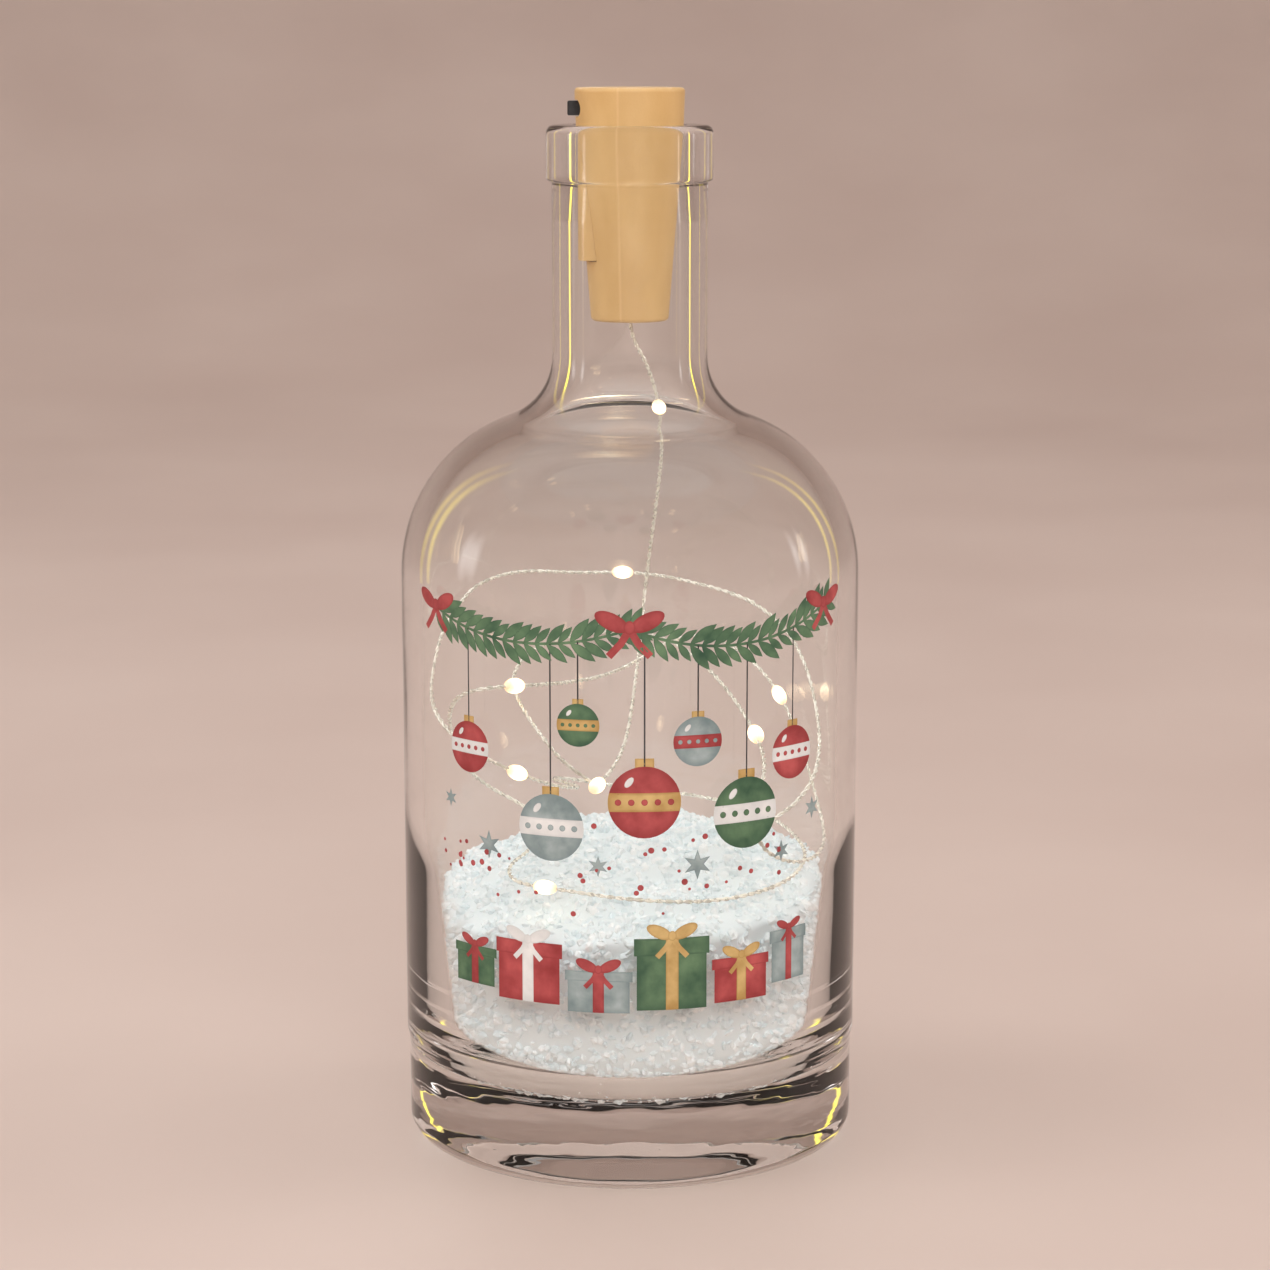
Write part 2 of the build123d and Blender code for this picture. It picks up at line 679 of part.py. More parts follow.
# Lights: a frame at each station, with its first axis along the wire
bead_frames = []
for path, stations in ((drop_path, drop_stations), (loop_path, loop_stations)):
    for station in stations:
        share = min(station / path.length, 1.0)
        along = path % share
        upright = Vector(0, 0, 1) if abs(along.Z) < 0.9 else Vector(1, 0, 0)
        across = upright.cross(along).normalized()
        bead_frames.append(Plane(origin=path @ share, x_dir=along, z_dir=across))

# Resin drops on the string
with BuildPart() as led_beads:
    for frame in bead_frames:
        with BuildSketch(frame):
            Ellipse(bead_length / 2, bead_diameter / 2)
            Rectangle(bead_length, bead_diameter, align=(Align.CENTER, Align.MAX), mode=Mode.SUBTRACT)
        revolve(axis=Axis(frame.origin, frame.x_dir))
led_beads.part.label = "led_beads"
export_step(led_beads.part, "parts/led_beads.step")

# Light chips beside the wire, inside the drops
with BuildPart() as led_chips:
    for frame in bead_frames:
        with BuildSketch(frame.offset(wire_r)):
            Rectangle(chip_length, chip_width)
        extrude(amount=chip_height)
led_chips.part.label = "led_chips"
export_step(led_chips.part, "parts/led_chips.step")
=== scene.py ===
# %% [markdown]
# A cork bottle light is a clear glass bottle with loose snow and a wired string of lights in it,
# closed by a moulded stopper that holds the cells and the switch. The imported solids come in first
# and stay where they are. Every piece made below is in metres, in the same frame.

# %% The frame
import bmesh
import bpy
import json
import math
import random
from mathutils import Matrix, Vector, noise


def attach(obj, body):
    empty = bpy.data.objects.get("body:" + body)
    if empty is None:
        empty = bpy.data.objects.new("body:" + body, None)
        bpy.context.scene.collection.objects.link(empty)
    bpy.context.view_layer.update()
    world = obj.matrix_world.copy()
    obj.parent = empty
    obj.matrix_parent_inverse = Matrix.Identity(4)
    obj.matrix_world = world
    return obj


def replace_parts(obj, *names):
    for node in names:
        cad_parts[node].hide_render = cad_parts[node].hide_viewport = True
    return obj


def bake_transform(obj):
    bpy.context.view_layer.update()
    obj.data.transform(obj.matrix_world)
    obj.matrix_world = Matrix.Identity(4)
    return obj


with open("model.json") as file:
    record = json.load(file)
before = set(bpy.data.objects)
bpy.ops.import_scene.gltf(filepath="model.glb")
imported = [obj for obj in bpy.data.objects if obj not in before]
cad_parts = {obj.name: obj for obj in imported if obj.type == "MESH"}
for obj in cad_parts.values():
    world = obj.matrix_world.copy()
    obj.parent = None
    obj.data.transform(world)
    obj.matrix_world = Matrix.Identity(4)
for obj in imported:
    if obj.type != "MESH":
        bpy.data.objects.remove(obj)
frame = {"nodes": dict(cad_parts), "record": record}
scene = bpy.context.scene
scene.view_settings.view_transform = "Standard"
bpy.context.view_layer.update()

# %% [markdown]
# The bottle is seen from the front, a little from above, through a long lens. The camera comes
# first, so that every piece can be looked at from the right place as soon as it is there.

# %% The camera
lens = bpy.data.cameras.new("camera")
lens.sensor_width = 36
lens.lens = 89.58
camera = bpy.data.objects.new("camera", lens)
camera.location = (0.00094, -0.57446, 0.20134)
camera.rotation_euler = (math.radians(79.333), 0, 0)
scene.collection.objects.link(camera)
scene.camera = camera
print("camera", [round(value, 3) for value in camera.location])

# %% [markdown]
# The string of lights is a thin springy wire. It hangs from the stopper to its second light, and
# lies in loose loops on the snow from there on. A spline whose control points are the points of
# the route gives a line with no corners, where straight runs with rounded corners would look like
# bent rod. The line is read back as a plain polyline, which the strands and the lights follow.

# %% The line of the wire
drop_points = [
    (0.0000, 0.0000, 0.1515), (0.0003, 0.0004, 0.1482), (0.0030, 0.0020, 0.1437),
    (0.0048, 0.0040, 0.1378), (0.0061, 0.0070, 0.1298), (0.0054, 0.0135, 0.1192),
    (0.0040, 0.0225, 0.1074), (0.0029, 0.0275, 0.0958), (0.0019, 0.0230, 0.0866),
    (0.0008, 0.0095, 0.0808), (-0.0003, -0.0060, 0.0761), (-0.0025, -0.0185, 0.0726),
    (-0.0057, -0.0255, 0.0709),
]
loop_points = [
    (-0.0057, -0.0255, 0.0709), (-0.0108, -0.0275, 0.0747), (-0.0150, -0.0265, 0.0797),
    (-0.0191, -0.0215, 0.0845), (-0.0214, -0.0130, 0.0880), (-0.0187, -0.0040, 0.0911),
    (-0.0130, 0.0030, 0.0924), (-0.0056, 0.0080, 0.0926), (0.0021, 0.0100, 0.0920),
    (0.0094, 0.0090, 0.0901), (0.0155, 0.0050, 0.0855), (0.0200, -0.0020, 0.0809),
    (0.0232, -0.0110, 0.0766), (0.0240, -0.0205, 0.0728), (0.0215, -0.0280, 0.0674),
    (0.0220, -0.0298, 0.0606), (0.0278, -0.0250, 0.0562), (0.0334, -0.0155, 0.0550),
    (0.0364, -0.0045, 0.0560), (0.0366, 0.0060, 0.0598), (0.0348, 0.0130, 0.0662),
    (0.0326, 0.0174, 0.0722), (0.0298, 0.0210, 0.0777), (0.0262, 0.0258, 0.0817),
    (0.0208, 0.0295, 0.0856), (0.0138, 0.0315, 0.0879), (0.0068, 0.0255, 0.0870),
    (0.0008, 0.0135, 0.0854), (-0.0052, 0.0030, 0.0849), (-0.0117, -0.0075, 0.0859),
    (-0.0173, -0.0175, 0.0875), (-0.0222, -0.0253, 0.0889), (-0.0292, -0.0234, 0.0874),
    (-0.0320, -0.0155, 0.0815), (-0.0324, -0.0060, 0.0745), (-0.0318, 0.0040, 0.0678),
    (-0.0276, 0.0115, 0.0618), (-0.0205, 0.0120, 0.0582), (-0.0164, 0.0045, 0.0564),
    (-0.0176, -0.0065, 0.0548), (-0.0220, -0.0165, 0.0534), (-0.0205, -0.0255, 0.0528),
    (-0.0137, -0.0295, 0.0528), (0.0005, -0.0323, 0.0512), (0.0155, -0.0314, 0.0508),
    (0.0276, -0.0224, 0.0516), (0.0330, -0.0090, 0.0530), (0.0315, 0.0060, 0.0546),
    (0.0250, 0.0195, 0.0556), (0.0130, 0.0285, 0.0562), (-0.0020, 0.0305, 0.0574),
    (-0.0130, 0.0250, 0.0604), (-0.0155, 0.0135, 0.0630), (-0.0105, 0.0035, 0.0642),
    (-0.0092, -0.0065, 0.0658), (-0.0142, -0.0145, 0.0683), (-0.0205, -0.0205, 0.0723),
    (-0.0264, -0.0230, 0.0760), (-0.0317, -0.0193, 0.0796), (-0.0355, -0.0110, 0.0837),
    (-0.0368, -0.0010, 0.0876), (-0.0359, 0.0094, 0.0936), (-0.0324, 0.0183, 0.0978),
    (-0.0270, 0.0253, 0.0999), (-0.0200, 0.0310, 0.1002), (-0.0110, 0.0351, 0.0989),
    (-0.0010, 0.0366, 0.0991), (0.0082, 0.0359, 0.0980), (0.0166, 0.0330, 0.0963),
    (0.0240, 0.0280, 0.0946), (0.0299, 0.0215, 0.0920), (0.0337, 0.0138, 0.0868),
    (0.0354, 0.0050, 0.0804), (0.0352, -0.0050, 0.0742), (0.0324, -0.0145, 0.0688),
    (0.0270, -0.0215, 0.0646), (0.0200, -0.0250, 0.0616),
]


def smooth_line(name, points):
    """A polyline mesh read from the spline that has these control points."""
    curve = bpy.data.curves.new(name, "CURVE")
    curve.dimensions = "3D"
    spline = curve.splines.new("NURBS")
    spline.points.add(len(points) - 1)
    for control, place in zip(spline.points, points):
        control.co = (*place, 1)
    spline.order_u = 3
    spline.use_endpoint_u = True
    spline.resolution_u = 16
    helper = bpy.data.objects.new(name, curve)
    scene.collection.objects.link(helper)
    shapes = bpy.context.evaluated_depsgraph_get()
    mesh = bpy.data.meshes.new_from_object(helper.evaluated_get(shapes))
    bpy.data.objects.remove(helper)
    return mesh


def line_length(mesh):
    """The length of a polyline mesh."""
    places = [vertex.co for vertex in mesh.vertices]
    return sum((b - a).length for a, b in zip(places, places[1:]))


drop_line = smooth_line("drop_line", drop_points)
loop_line = smooth_line("loop_line", loop_points)
drop_length = line_length(drop_line)
loop_length = line_length(loop_line)
print("drop", round(drop_length, 4), "loops", round(loop_length, 4))

# %% [markdown]
# Many pieces here repeat along a line or over a surface, so Geometry Nodes make them. Small helpers
# keep the trees readable. They add a node and fill its inputs, do a step of arithmetic, cut a line
# into even steps, keep a value on a shape, open a tree with named inputs, and close it. The last one
# runs a tree and keeps its result as a plain mesh.

# %% Helpers for node trees
def put(tree, kind, inputs=None, **settings):
    """Add a node, set its properties, and fill its inputs with values or links."""
    node = tree.nodes.new(kind)
    for label, value in settings.items():
        setattr(node, label, value)
    for label, value in (inputs or {}).items():
        if isinstance(value, bpy.types.NodeSocket):
            tree.links.new(value, node.inputs[label])
        else:
            node.inputs[label].default_value = value
    return node


def made(tree, kind, inputs=None, **settings):
    """Add a node, and give its first output."""
    return put(tree, kind, inputs, **settings).outputs[0]


def maths(tree, operation, *values):
    """One step of arithmetic on values or links."""
    return made(tree, "ShaderNodeMath", dict(enumerate(values)), operation=operation)


def even_line(tree, mesh, step):
    """The line of a mesh, cut into even steps."""
    line = made(tree, "GeometryNodeMeshToCurve", {"Mesh": mesh})
    return made(tree, "GeometryNodeResampleCurve", {"Curve": line, "Length": step}, mode="LENGTH")


def stored(tree, shape, name, value, domain="POINT"):
    """A shape whose points or instances each keep a value under a name."""
    kept = {"Geometry": shape, "Name": name, "Value": value}
    return made(tree, "GeometryNodeStoreNamedAttribute", kept, data_type="FLOAT", domain=domain)


def open_tree(name, sizes):
    """A tree with a mesh, a finish and a named input for each size."""
    tree = bpy.data.node_groups.new(name, "GeometryNodeTree")
    sockets = tree.interface
    sockets.new_socket("Mesh", in_out="INPUT", socket_type="NodeSocketGeometry")
    sockets.new_socket("Finish", in_out="INPUT", socket_type="NodeSocketMaterial")
    for label, value in sizes.items():
        kind = "NodeSocketInt" if isinstance(value, int) else "NodeSocketFloat"
        sockets.new_socket(label, in_out="INPUT", socket_type=kind).default_value = value
    sockets.new_socket("Mesh", in_out="OUTPUT", socket_type="NodeSocketGeometry")
    return tree, tree.nodes.new("NodeGroupInput").outputs


def close_tree(tree, shape, finish, smooth=True):
    """End a tree with real meshes in place of instances, their shading and their finish."""
    shape = made(tree, "GeometryNodeRealizeInstances", {"Geometry": shape})
    shape = made(tree, "GeometryNodeSetShadeSmooth", {"Geometry": shape, "Shade Smooth": smooth})
    shape = made(tree, "GeometryNodeSetMaterial", {"Geometry": shape, "Material": finish})
    put(tree, "NodeGroupOutput", {"Mesh": shape})


def grown(name, mesh, tree, finish):
    """Run a tree on a mesh, and keep what it makes as a plain mesh."""
    piece = bpy.data.objects.new(name, mesh)
    scene.collection.objects.link(piece)
    modifier = piece.modifiers.new(name, "NODES")
    modifier.node_group = tree
    keys = {item.name: item.identifier for item in tree.interface.items_tree if item.in_out == "INPUT"}
    modifier[keys["Finish"]] = finish
    bpy.context.view_layer.update()
    shapes = bpy.context.evaluated_depsgraph_get()
    plain = bpy.data.meshes.new_from_object(piece.evaluated_get(shapes), depsgraph=shapes)
    piece.modifiers.clear()
    piece.data = plain
    plain.name = name
    print(name, len(plain.polygons), "faces")
    return piece


# %% [markdown]
# Finishes are made from noise that sits still on the piece. These helpers give a Principled shader
# with its even values set, a colour that drifts between two tones, a roughness that drifts between
# two values, and a fine relief.

# %% Helpers for finishes
def new_finish(name, **values):
    """A material with a Principled shader whose even values are on its own sockets."""
    finish = bpy.data.materials.new(name)
    finish.use_nodes = True
    shader = finish.node_tree.nodes["Principled BSDF"]
    for label, value in values.items():
        shader.inputs[label.replace("_", " ")].default_value = value
    return finish, finish.node_tree, shader


def drive(tree, shader, **links):
    """Link values that change over the surface to a shader's sockets."""
    for label, link in links.items():
        tree.links.new(link, shader.inputs[label.replace("_", " ")])


def speckle(tree, scale, detail=4.0, stretch=(1, 1, 1)):
    """Noise between 0 and 1 that is fixed to the piece; scale counts its spots in a metre."""
    place = put(tree, "ShaderNodeTexCoord").outputs["Object"]
    turned = made(tree, "ShaderNodeMapping", {"Vector": place, "Scale": stretch})
    spots = {"Vector": turned, "Scale": scale, "Detail": detail}
    return put(tree, "ShaderNodeTexNoise", spots).outputs["Fac"]


def between(tree, share, low, high, start=0.3, stop=0.7):
    """A value that goes from low to high as share goes from start to stop."""
    spread = {"Value": share, "From Min": start, "From Max": stop, "To Min": low, "To Max": high}
    return put(tree, "ShaderNodeMapRange", spread).outputs["Result"]


def blended(tree, share, dark, light):
    """A colour between two tones."""
    tones = {0: share, 6: (*dark, 1), 7: (*light, 1)}
    return put(tree, "ShaderNodeMix", tones, data_type="RGBA").outputs[2]


def mottle(tree, shader, scale, dark, light, rough, relief=0.0, stretch=(1, 1, 1)):
    """Drive a shader's colour, roughness and relief from one noise."""
    spots = speckle(tree, scale, stretch=stretch)
    share = between(tree, spots, 0, 1)
    drive(tree, shader, Base_Color=blended(tree, share, dark, light))
    drive(tree, shader, Roughness=between(tree, spots, *rough))
    if relief:
        drive(tree, shader, Normal=made(tree, "ShaderNodeBump", {"Height": spots, "Distance": relief}))


# %% [markdown]
# The wire is a pair of fine silver strands twisted together. One plain tube would be simpler, but it
# lacks the glints of the twist. The tree walks along the line, puts each strand to one side of it,
# and turns that side round the line once in every pitch.

# %% The twisted wire
tree, size = open_tree("Twisted pair", {"Pitch": 0.0034, "Step": 0.0004, "Strand radius": 0.0002})
line = even_line(tree, size["Mesh"], size["Step"])
along = put(tree, "GeometryNodeSplineParameter").outputs["Length"]
turns = maths(tree, "DIVIDE", along, size["Pitch"])
angle = maths(tree, "MULTIPLY", turns, math.tau)
tangent = made(tree, "GeometryNodeInputTangent")
normal = made(tree, "GeometryNodeInputNormal")
ring = {"Resolution": 6, "Radius": size["Strand radius"]}
ring = made(tree, "GeometryNodeCurvePrimitiveCircle", ring)
pair = put(tree, "GeometryNodeJoinGeometry")
for side in (0, math.pi):
    turned = maths(tree, "ADD", angle, side)
    aside = {"Vector": normal, "Axis": tangent, "Angle": turned}
    aside = {0: made(tree, "ShaderNodeVectorRotate", aside), "Scale": size["Strand radius"]}
    aside = made(tree, "ShaderNodeVectorMath", aside, operation="SCALE")
    strand = made(tree, "GeometryNodeSetPosition", {"Geometry": line, "Offset": aside})
    tube = {"Curve": strand, "Profile Curve": ring, "Fill Caps": True}
    tree.links.new(made(tree, "GeometryNodeCurveToMesh", tube), pair.inputs[0])
close_tree(tree, pair.outputs[0], size["Finish"])

silver_wire, nodes, shader = new_finish("silver_wire", Metallic=0.45)
mottle(nodes, shader, 700, (0.80, 0.76, 0.66), (0.96, 0.93, 0.84), (0.20, 0.36))
drop_wire = grown("drop_wire", drop_line, tree, silver_wire)
loop_wire = grown("loop_wire", loop_line, tree, silver_wire)

# %% [markdown]
# Each light is a chip on the wire under a drop of clear resin that is hard and pulled out along the
# wire. Ten of them sit along the line at about even spaces. The tree sets a drop on each place and
# turns it along the wire. A value on the mesh says how near a point is to the chip, and the resin
# glows by it: white in the middle, and golden at the tips.

# %% Places of the lights
drop_stations = [0.0205, 0.1250]
loop_stations = [0.1010, 0.1940, 0.2795, 0.3860, 0.4760, 0.5675, 0.6635, 0.7590]
route_lengths = {"drop": 0.1250, "loops": 0.7624}


def light_places(name, line, stations, route_length):
    """Points at the same shares of the smooth line, each with the wire's direction."""
    places = [vertex.co.copy() for vertex in line.vertices]
    steps = [(b - a).length for a, b in zip(places, places[1:])]
    total = sum(steps)
    found = []
    for station in stations:
        left = min(station / route_length, 1.0) * total
        index = 0
        while index < len(steps) - 1 and left > steps[index]:
            left -= steps[index]
            index += 1
        heading = (places[index + 1] - places[index]).normalized()
        found.append((places[index] + heading * left, heading))
    mesh = bpy.data.meshes.new(name)
    mesh.from_pydata([place for place, heading in found], [], [])
    directions = mesh.attributes.new("along", "FLOAT_VECTOR", "POINT")
    for slot, (place, heading) in zip(directions.data, found):
        slot.vector = heading
    return mesh


drop_places = light_places("drop_places", drop_line, drop_stations, route_lengths["drop"])
loop_places = light_places("loop_places", loop_line, loop_stations, route_lengths["loops"])
print("lights", len(drop_places.vertices) + len(loop_places.vertices))

# %% The drops of resin
def along_wire(tree):
    """The turn that lays a piece along the wire."""
    heading = {"Name": "along"}
    heading = made(tree, "GeometryNodeInputNamedAttribute", heading, data_type="FLOAT_VECTOR")
    return made(tree, "FunctionNodeAlignRotationToVector", {"Vector": heading}, axis="Z")


lit_resin, nodes, shader = new_finish("lit_resin", Roughness=0.12, Base_Color=(1.0, 0.94, 0.82, 1))
glow = put(nodes, "ShaderNodeAttribute", attribute_name="glow").outputs["Fac"]
drive(nodes, shader, Emission_Color=blended(nodes, glow, (1.0, 0.56, 0.18), (1.0, 0.84, 0.56)))
drive(nodes, shader, Emission_Strength=between(nodes, glow, 0.6, 3.6, 0.1, 0.9))

tree, size = open_tree("Resin drops", {"Length": 0.0048, "Width": 0.0028, "Spread": 0.08, "Seed": 4})
ball = {"Segments": 20, "Rings": 14, "Radius": 1.0}
ball = made(tree, "GeometryNodeMeshUVSphere", ball)
place = made(tree, "GeometryNodeInputPosition")
height = put(tree, "ShaderNodeSeparateXYZ", {0: place}).outputs["Z"]
height = maths(tree, "ABSOLUTE", height)
near = maths(tree, "SUBTRACT", 1.0, height)
ball = stored(tree, ball, "glow", near)
half_length = maths(tree, "MULTIPLY", size["Length"], 0.5)
half_width = maths(tree, "MULTIPLY", size["Width"], 0.5)
across = made(tree, "ShaderNodeCombineXYZ", {0: half_width, 1: half_width, 2: half_length})
ball = made(tree, "GeometryNodeTransform", {"Geometry": ball, "Scale": across})
least = maths(tree, "SUBTRACT", 1.0, size["Spread"])
varied = {2: least, 3: 1.0, "Seed": size["Seed"]}
varied = put(tree, "FunctionNodeRandomValue", varied, data_type="FLOAT").outputs[1]
drops = {"Points": size["Mesh"], "Instance": ball, "Rotation": along_wire(tree), "Scale": varied}
drops = made(tree, "GeometryNodeInstanceOnPoints", drops)
close_tree(tree, drops, size["Finish"])
drop_lights = grown("drop_lights", drop_places.copy(), tree, lit_resin)
loop_lights = grown("loop_lights", loop_places.copy(), tree, lit_resin)

# %% The chips in the drops
lit_chip, nodes, shader = new_finish("lit_chip", Emission_Strength=6.0, Emission_Color=(1.0, 0.86, 0.6, 1))
mottle(nodes, shader, 900, (0.95, 0.72, 0.20), (1.0, 0.84, 0.36), (0.4, 0.6))
tree, size = open_tree("Chips", {"Length": 0.0020, "Width": 0.0011, "Height": 0.0005, "Aside": 0.00065})
measures = {0: size["Width"], 1: size["Height"], 2: size["Length"]}
measures = made(tree, "ShaderNodeCombineXYZ", measures)
block = made(tree, "GeometryNodeMeshCube", {"Size": measures})
aside = made(tree, "ShaderNodeCombineXYZ", {1: size["Aside"]})
block = made(tree, "GeometryNodeTransform", {"Geometry": block, "Translation": aside})
chips = {"Points": size["Mesh"], "Instance": block, "Rotation": along_wire(tree)}
chips = made(tree, "GeometryNodeInstanceOnPoints", chips)
close_tree(tree, chips, size["Finish"], smooth=False)
drop_chips = grown("drop_chips", drop_places, tree, lit_chip)
loop_chips = grown("loop_chips", loop_places, tree, lit_chip)

# %% [markdown]
# The wire and its lights take the places of the imported cords, whose solids are hidden. The loops and
# their lights are attached to the bottle. The drop and its lights stay where they are made. On the real
# string the drop follows a lifted stopper: below its upper light the wire is drawn out, and from that
# light on it rises with the stopper.

# %% The string of lights in the frame
for piece in (drop_wire, drop_lights, drop_chips):
    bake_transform(piece)
for piece in (loop_wire, loop_lights, loop_chips):
    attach(piece, "bottle")
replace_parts(drop_wire, "string_drop")
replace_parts(loop_wire, "string_loops")
for piece in (drop_lights, loop_lights):
    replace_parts(piece, "led_beads")
for piece in (drop_chips, loop_chips):
    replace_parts(piece, "led_chips")


print("cords", drop_wire.name, loop_wire.name)

# %% [markdown]
# The bottle is a turned shape, so one outline gives all of it: up the outside from the hollow under
# the base, over the lip, and down the inside to the floor. Glass only looks like glass if both walls
# are there, because light bends at each. The outline is a list of corners, each with its distance
# from the axis, its height and the radius that rounds it, in millimetres. It is cut into short
# steps, so that smooth shading stays true.

# %% The outline of the glass
body_r, inner_r, neck_r, bore_r, mouth_r = 42.0, 38.4, 14.1, 10.5, 9.85
body_z, neck_z, collar_z, lip_z, floor_z = 105.6, 145.162, 176.362, 186.362, 13.0
heel_r, collar_r, floor_r, taper_z = 41.55, 15.1, 33.8, 57.0
shoulder_bend, throat_bend, inner_shoulder_bend, inner_throat_bend = 30, 12, 26.4, 15.6
shoulder_turn = math.tan(math.acos(1 - (body_r - neck_r) / (shoulder_bend + throat_bend)) / 2)
bottle_corners = [
    (0, 2.4, 0), (16.8, 1.8, 200), (33.55, 0, 0.8),
    (heel_r, 0, 3.0), (heel_r, 17.6, 1.6), (body_r, 19.6, 1.6),
    (body_r, body_z + shoulder_bend * shoulder_turn, shoulder_bend),
    (neck_r, neck_z - throat_bend * shoulder_turn, throat_bend),
    (neck_r, collar_z, 0.25), (collar_r, collar_z, 0.7), (collar_r, lip_z, 1.5),
    (mouth_r, lip_z, 0.6), (mouth_r, lip_z - 9.0, 8), (bore_r, lip_z - 17.0, 8),
    (bore_r, neck_z - inner_throat_bend * shoulder_turn, inner_throat_bend),
    (inner_r, body_z + inner_shoulder_bend * shoulder_turn, inner_shoulder_bend),
    (inner_r, taper_z, 60), (floor_r, floor_z, 13), (0, floor_z, 0),
]
mm = 0.001


def rounded(corners, step):
    """A line through the corners, each rounded by its radius, in steps no longer than step."""
    line = [Vector(corners[0][:2])]
    for (ax, az, unused), (bx, bz, radius), (cx, cz, unused) in zip(corners, corners[1:], corners[2:]):
        corner = Vector((bx, bz))
        back = (Vector((ax, az)) - corner).normalized()
        ahead = (Vector((cx, cz)) - corner).normalized()
        half = back.angle(ahead) / 2
        reach = radius / math.tan(half)
        middle = corner + (back + ahead).normalized() * (radius / math.sin(half))
        first = corner + back * reach - middle
        sweep = first.angle_signed(corner + ahead * reach - middle)
        parts = max(3, math.ceil(abs(sweep) * radius / step), math.ceil(abs(sweep) / 0.2))
        for part in range(parts + 1):
            turn = -sweep * part / parts
            x = first.x * math.cos(turn) - first.y * math.sin(turn)
            z = first.x * math.sin(turn) + first.y * math.cos(turn)
            line.append(middle + Vector((x, z)))
    line.append(Vector(corners[-1][:2]))
    fine = [line[0]]
    for spot in line[1:]:
        parts = max(1, math.ceil((spot - fine[-1]).length / step))
        start = fine[-1].copy()
        fine.extend(start.lerp(spot, (part + 1) / parts) for part in range(parts))
    return fine


bottle_outline = rounded(bottle_corners, step=1.6)
print("outline points", len(bottle_outline))

# %% [markdown]
# The tree turns an outline once round the upright axis. Each point of a flat grid takes its place from
# one point of the outline, and its angle from its column in the grid.

# %% The turned bottle
weld = 0.000002
turned_tree, size = open_tree("Turned piece", {"Segments": 128})
tree = turned_tree
count = {"Geometry": size["Mesh"]}
count = made(tree, "GeometryNodeAttributeDomainSize", count, component="MESH")
columns = maths(tree, "ADD", size["Segments"], 1.0)
grid = made(tree, "GeometryNodeMeshGrid", {"Vertices X": columns, "Vertices Y": count})
index = made(tree, "GeometryNodeInputIndex")
column = maths(tree, "DIVIDE", index, count)
column = maths(tree, "FLOOR", column)
row = maths(tree, "MODULO", index, count)
place = made(tree, "GeometryNodeInputPosition")
sample = {"Geometry": size["Mesh"], "Value": place, "Index": row}
sample = made(tree, "GeometryNodeSampleIndex", sample, data_type="FLOAT_VECTOR", domain="POINT")
turn = maths(tree, "DIVIDE", column, size["Segments"])
turn = maths(tree, "MULTIPLY", turn, math.tau)
turned = {"Vector": sample, "Angle": turn}
turned = made(tree, "ShaderNodeVectorRotate", turned, rotation_type="Z_AXIS")
shape = made(tree, "GeometryNodeSetPosition", {"Geometry": grid, "Position": turned})
shape = made(tree, "GeometryNodeMergeByDistance", {"Geometry": shape, "Distance": weld})
close_tree(tree, shape, size["Finish"])


def outline_mesh(name, outline):
    """An outline in millimetres as points in metres, in the plane of x and z."""
    mesh = bpy.data.meshes.new(name)
    mesh.from_pydata([(spot.x * mm, 0, spot.y * mm) for spot in outline], [], [])
    return mesh


def face_outwards(piece):
    """Close seams and point every face of a closed shape outwards."""
    work = bmesh.new()
    work.from_mesh(piece.data)
    bmesh.ops.remove_doubles(work, verts=work.verts, dist=weld)
    bmesh.ops.recalc_face_normals(work, faces=work.faces)
    work.to_mesh(piece.data)
    work.free()


# %% [markdown]
# Clear glass is a shader that bends light. Moulded glass is never quite even, so a long, weak wave bends
# what is seen through it, and streaks that lie round the thick base bend it more. For shadow rays and
# for light that dull surfaces gather, the glass is just see-through, so that the snow is lit at the same
# level as what stands outside.

# %% Clear glass
clear_glass, nodes, shader = new_finish(
    "clear_glass", Base_Color=(0.982, 0.990, 0.985, 1), Roughness=0.0, IOR=1.5, Transmission_Weight=1.0)
wave = speckle(nodes, 55, detail=1.0, stretch=(1, 1, 0.35))
streak = speckle(nodes, 130, detail=2.0, stretch=(0.4, 0.4, 1.5))
place = put(nodes, "ShaderNodeTexCoord").outputs["Object"]
height = put(nodes, "ShaderNodeSeparateXYZ", {0: place}).outputs["Z"]
base_top, streaks_end = 0.016, 0.024
thick = between(nodes, height, 1.6, 0.0, base_top, streaks_end)
wave = maths(nodes, "MULTIPLY_ADD", streak, thick, wave)
bump = {"Height": wave, "Distance": 0.0002, "Strength": 0.5}
drive(nodes, shader, Normal=made(nodes, "ShaderNodeBump", bump))
ray = put(nodes, "ShaderNodeLightPath").outputs
dull = maths(nodes, "MAXIMUM", ray["Is Shadow Ray"], ray["Is Diffuse Ray"])
open_glass = made(nodes, "ShaderNodeBsdfTransparent", {"Color": (0.95, 0.96, 0.955, 1)})
glass = made(nodes, "ShaderNodeMixShader", {0: dull, 1: shader.outputs[0], 2: open_glass})
nodes.links.new(glass, nodes.nodes["Material Output"].inputs["Surface"])
bottle_line = outline_mesh("bottle_outline", bottle_outline)
bottle_glass = grown("bottle_glass", bottle_line, turned_tree, clear_glass)
face_outwards(bottle_glass)
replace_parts(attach(bottle_glass, "bottle"), "bottle")

# %% [markdown]
# The snow is a heap of loose white grains that fills the round floor and slopes up towards the back. A
# solid heap, a little smaller than the space it has, carries the grains. It follows the inside of the
# glass, and its top is a wide crown with low humps about ten millimetres apart.

# %% The heap under the grains
heap_inset = 1.2
lip_index = max(range(len(bottle_outline)), key=lambda step: bottle_outline[step].y)
inside = [spot for spot in bottle_outline[lip_index:] if spot.y < body_z]


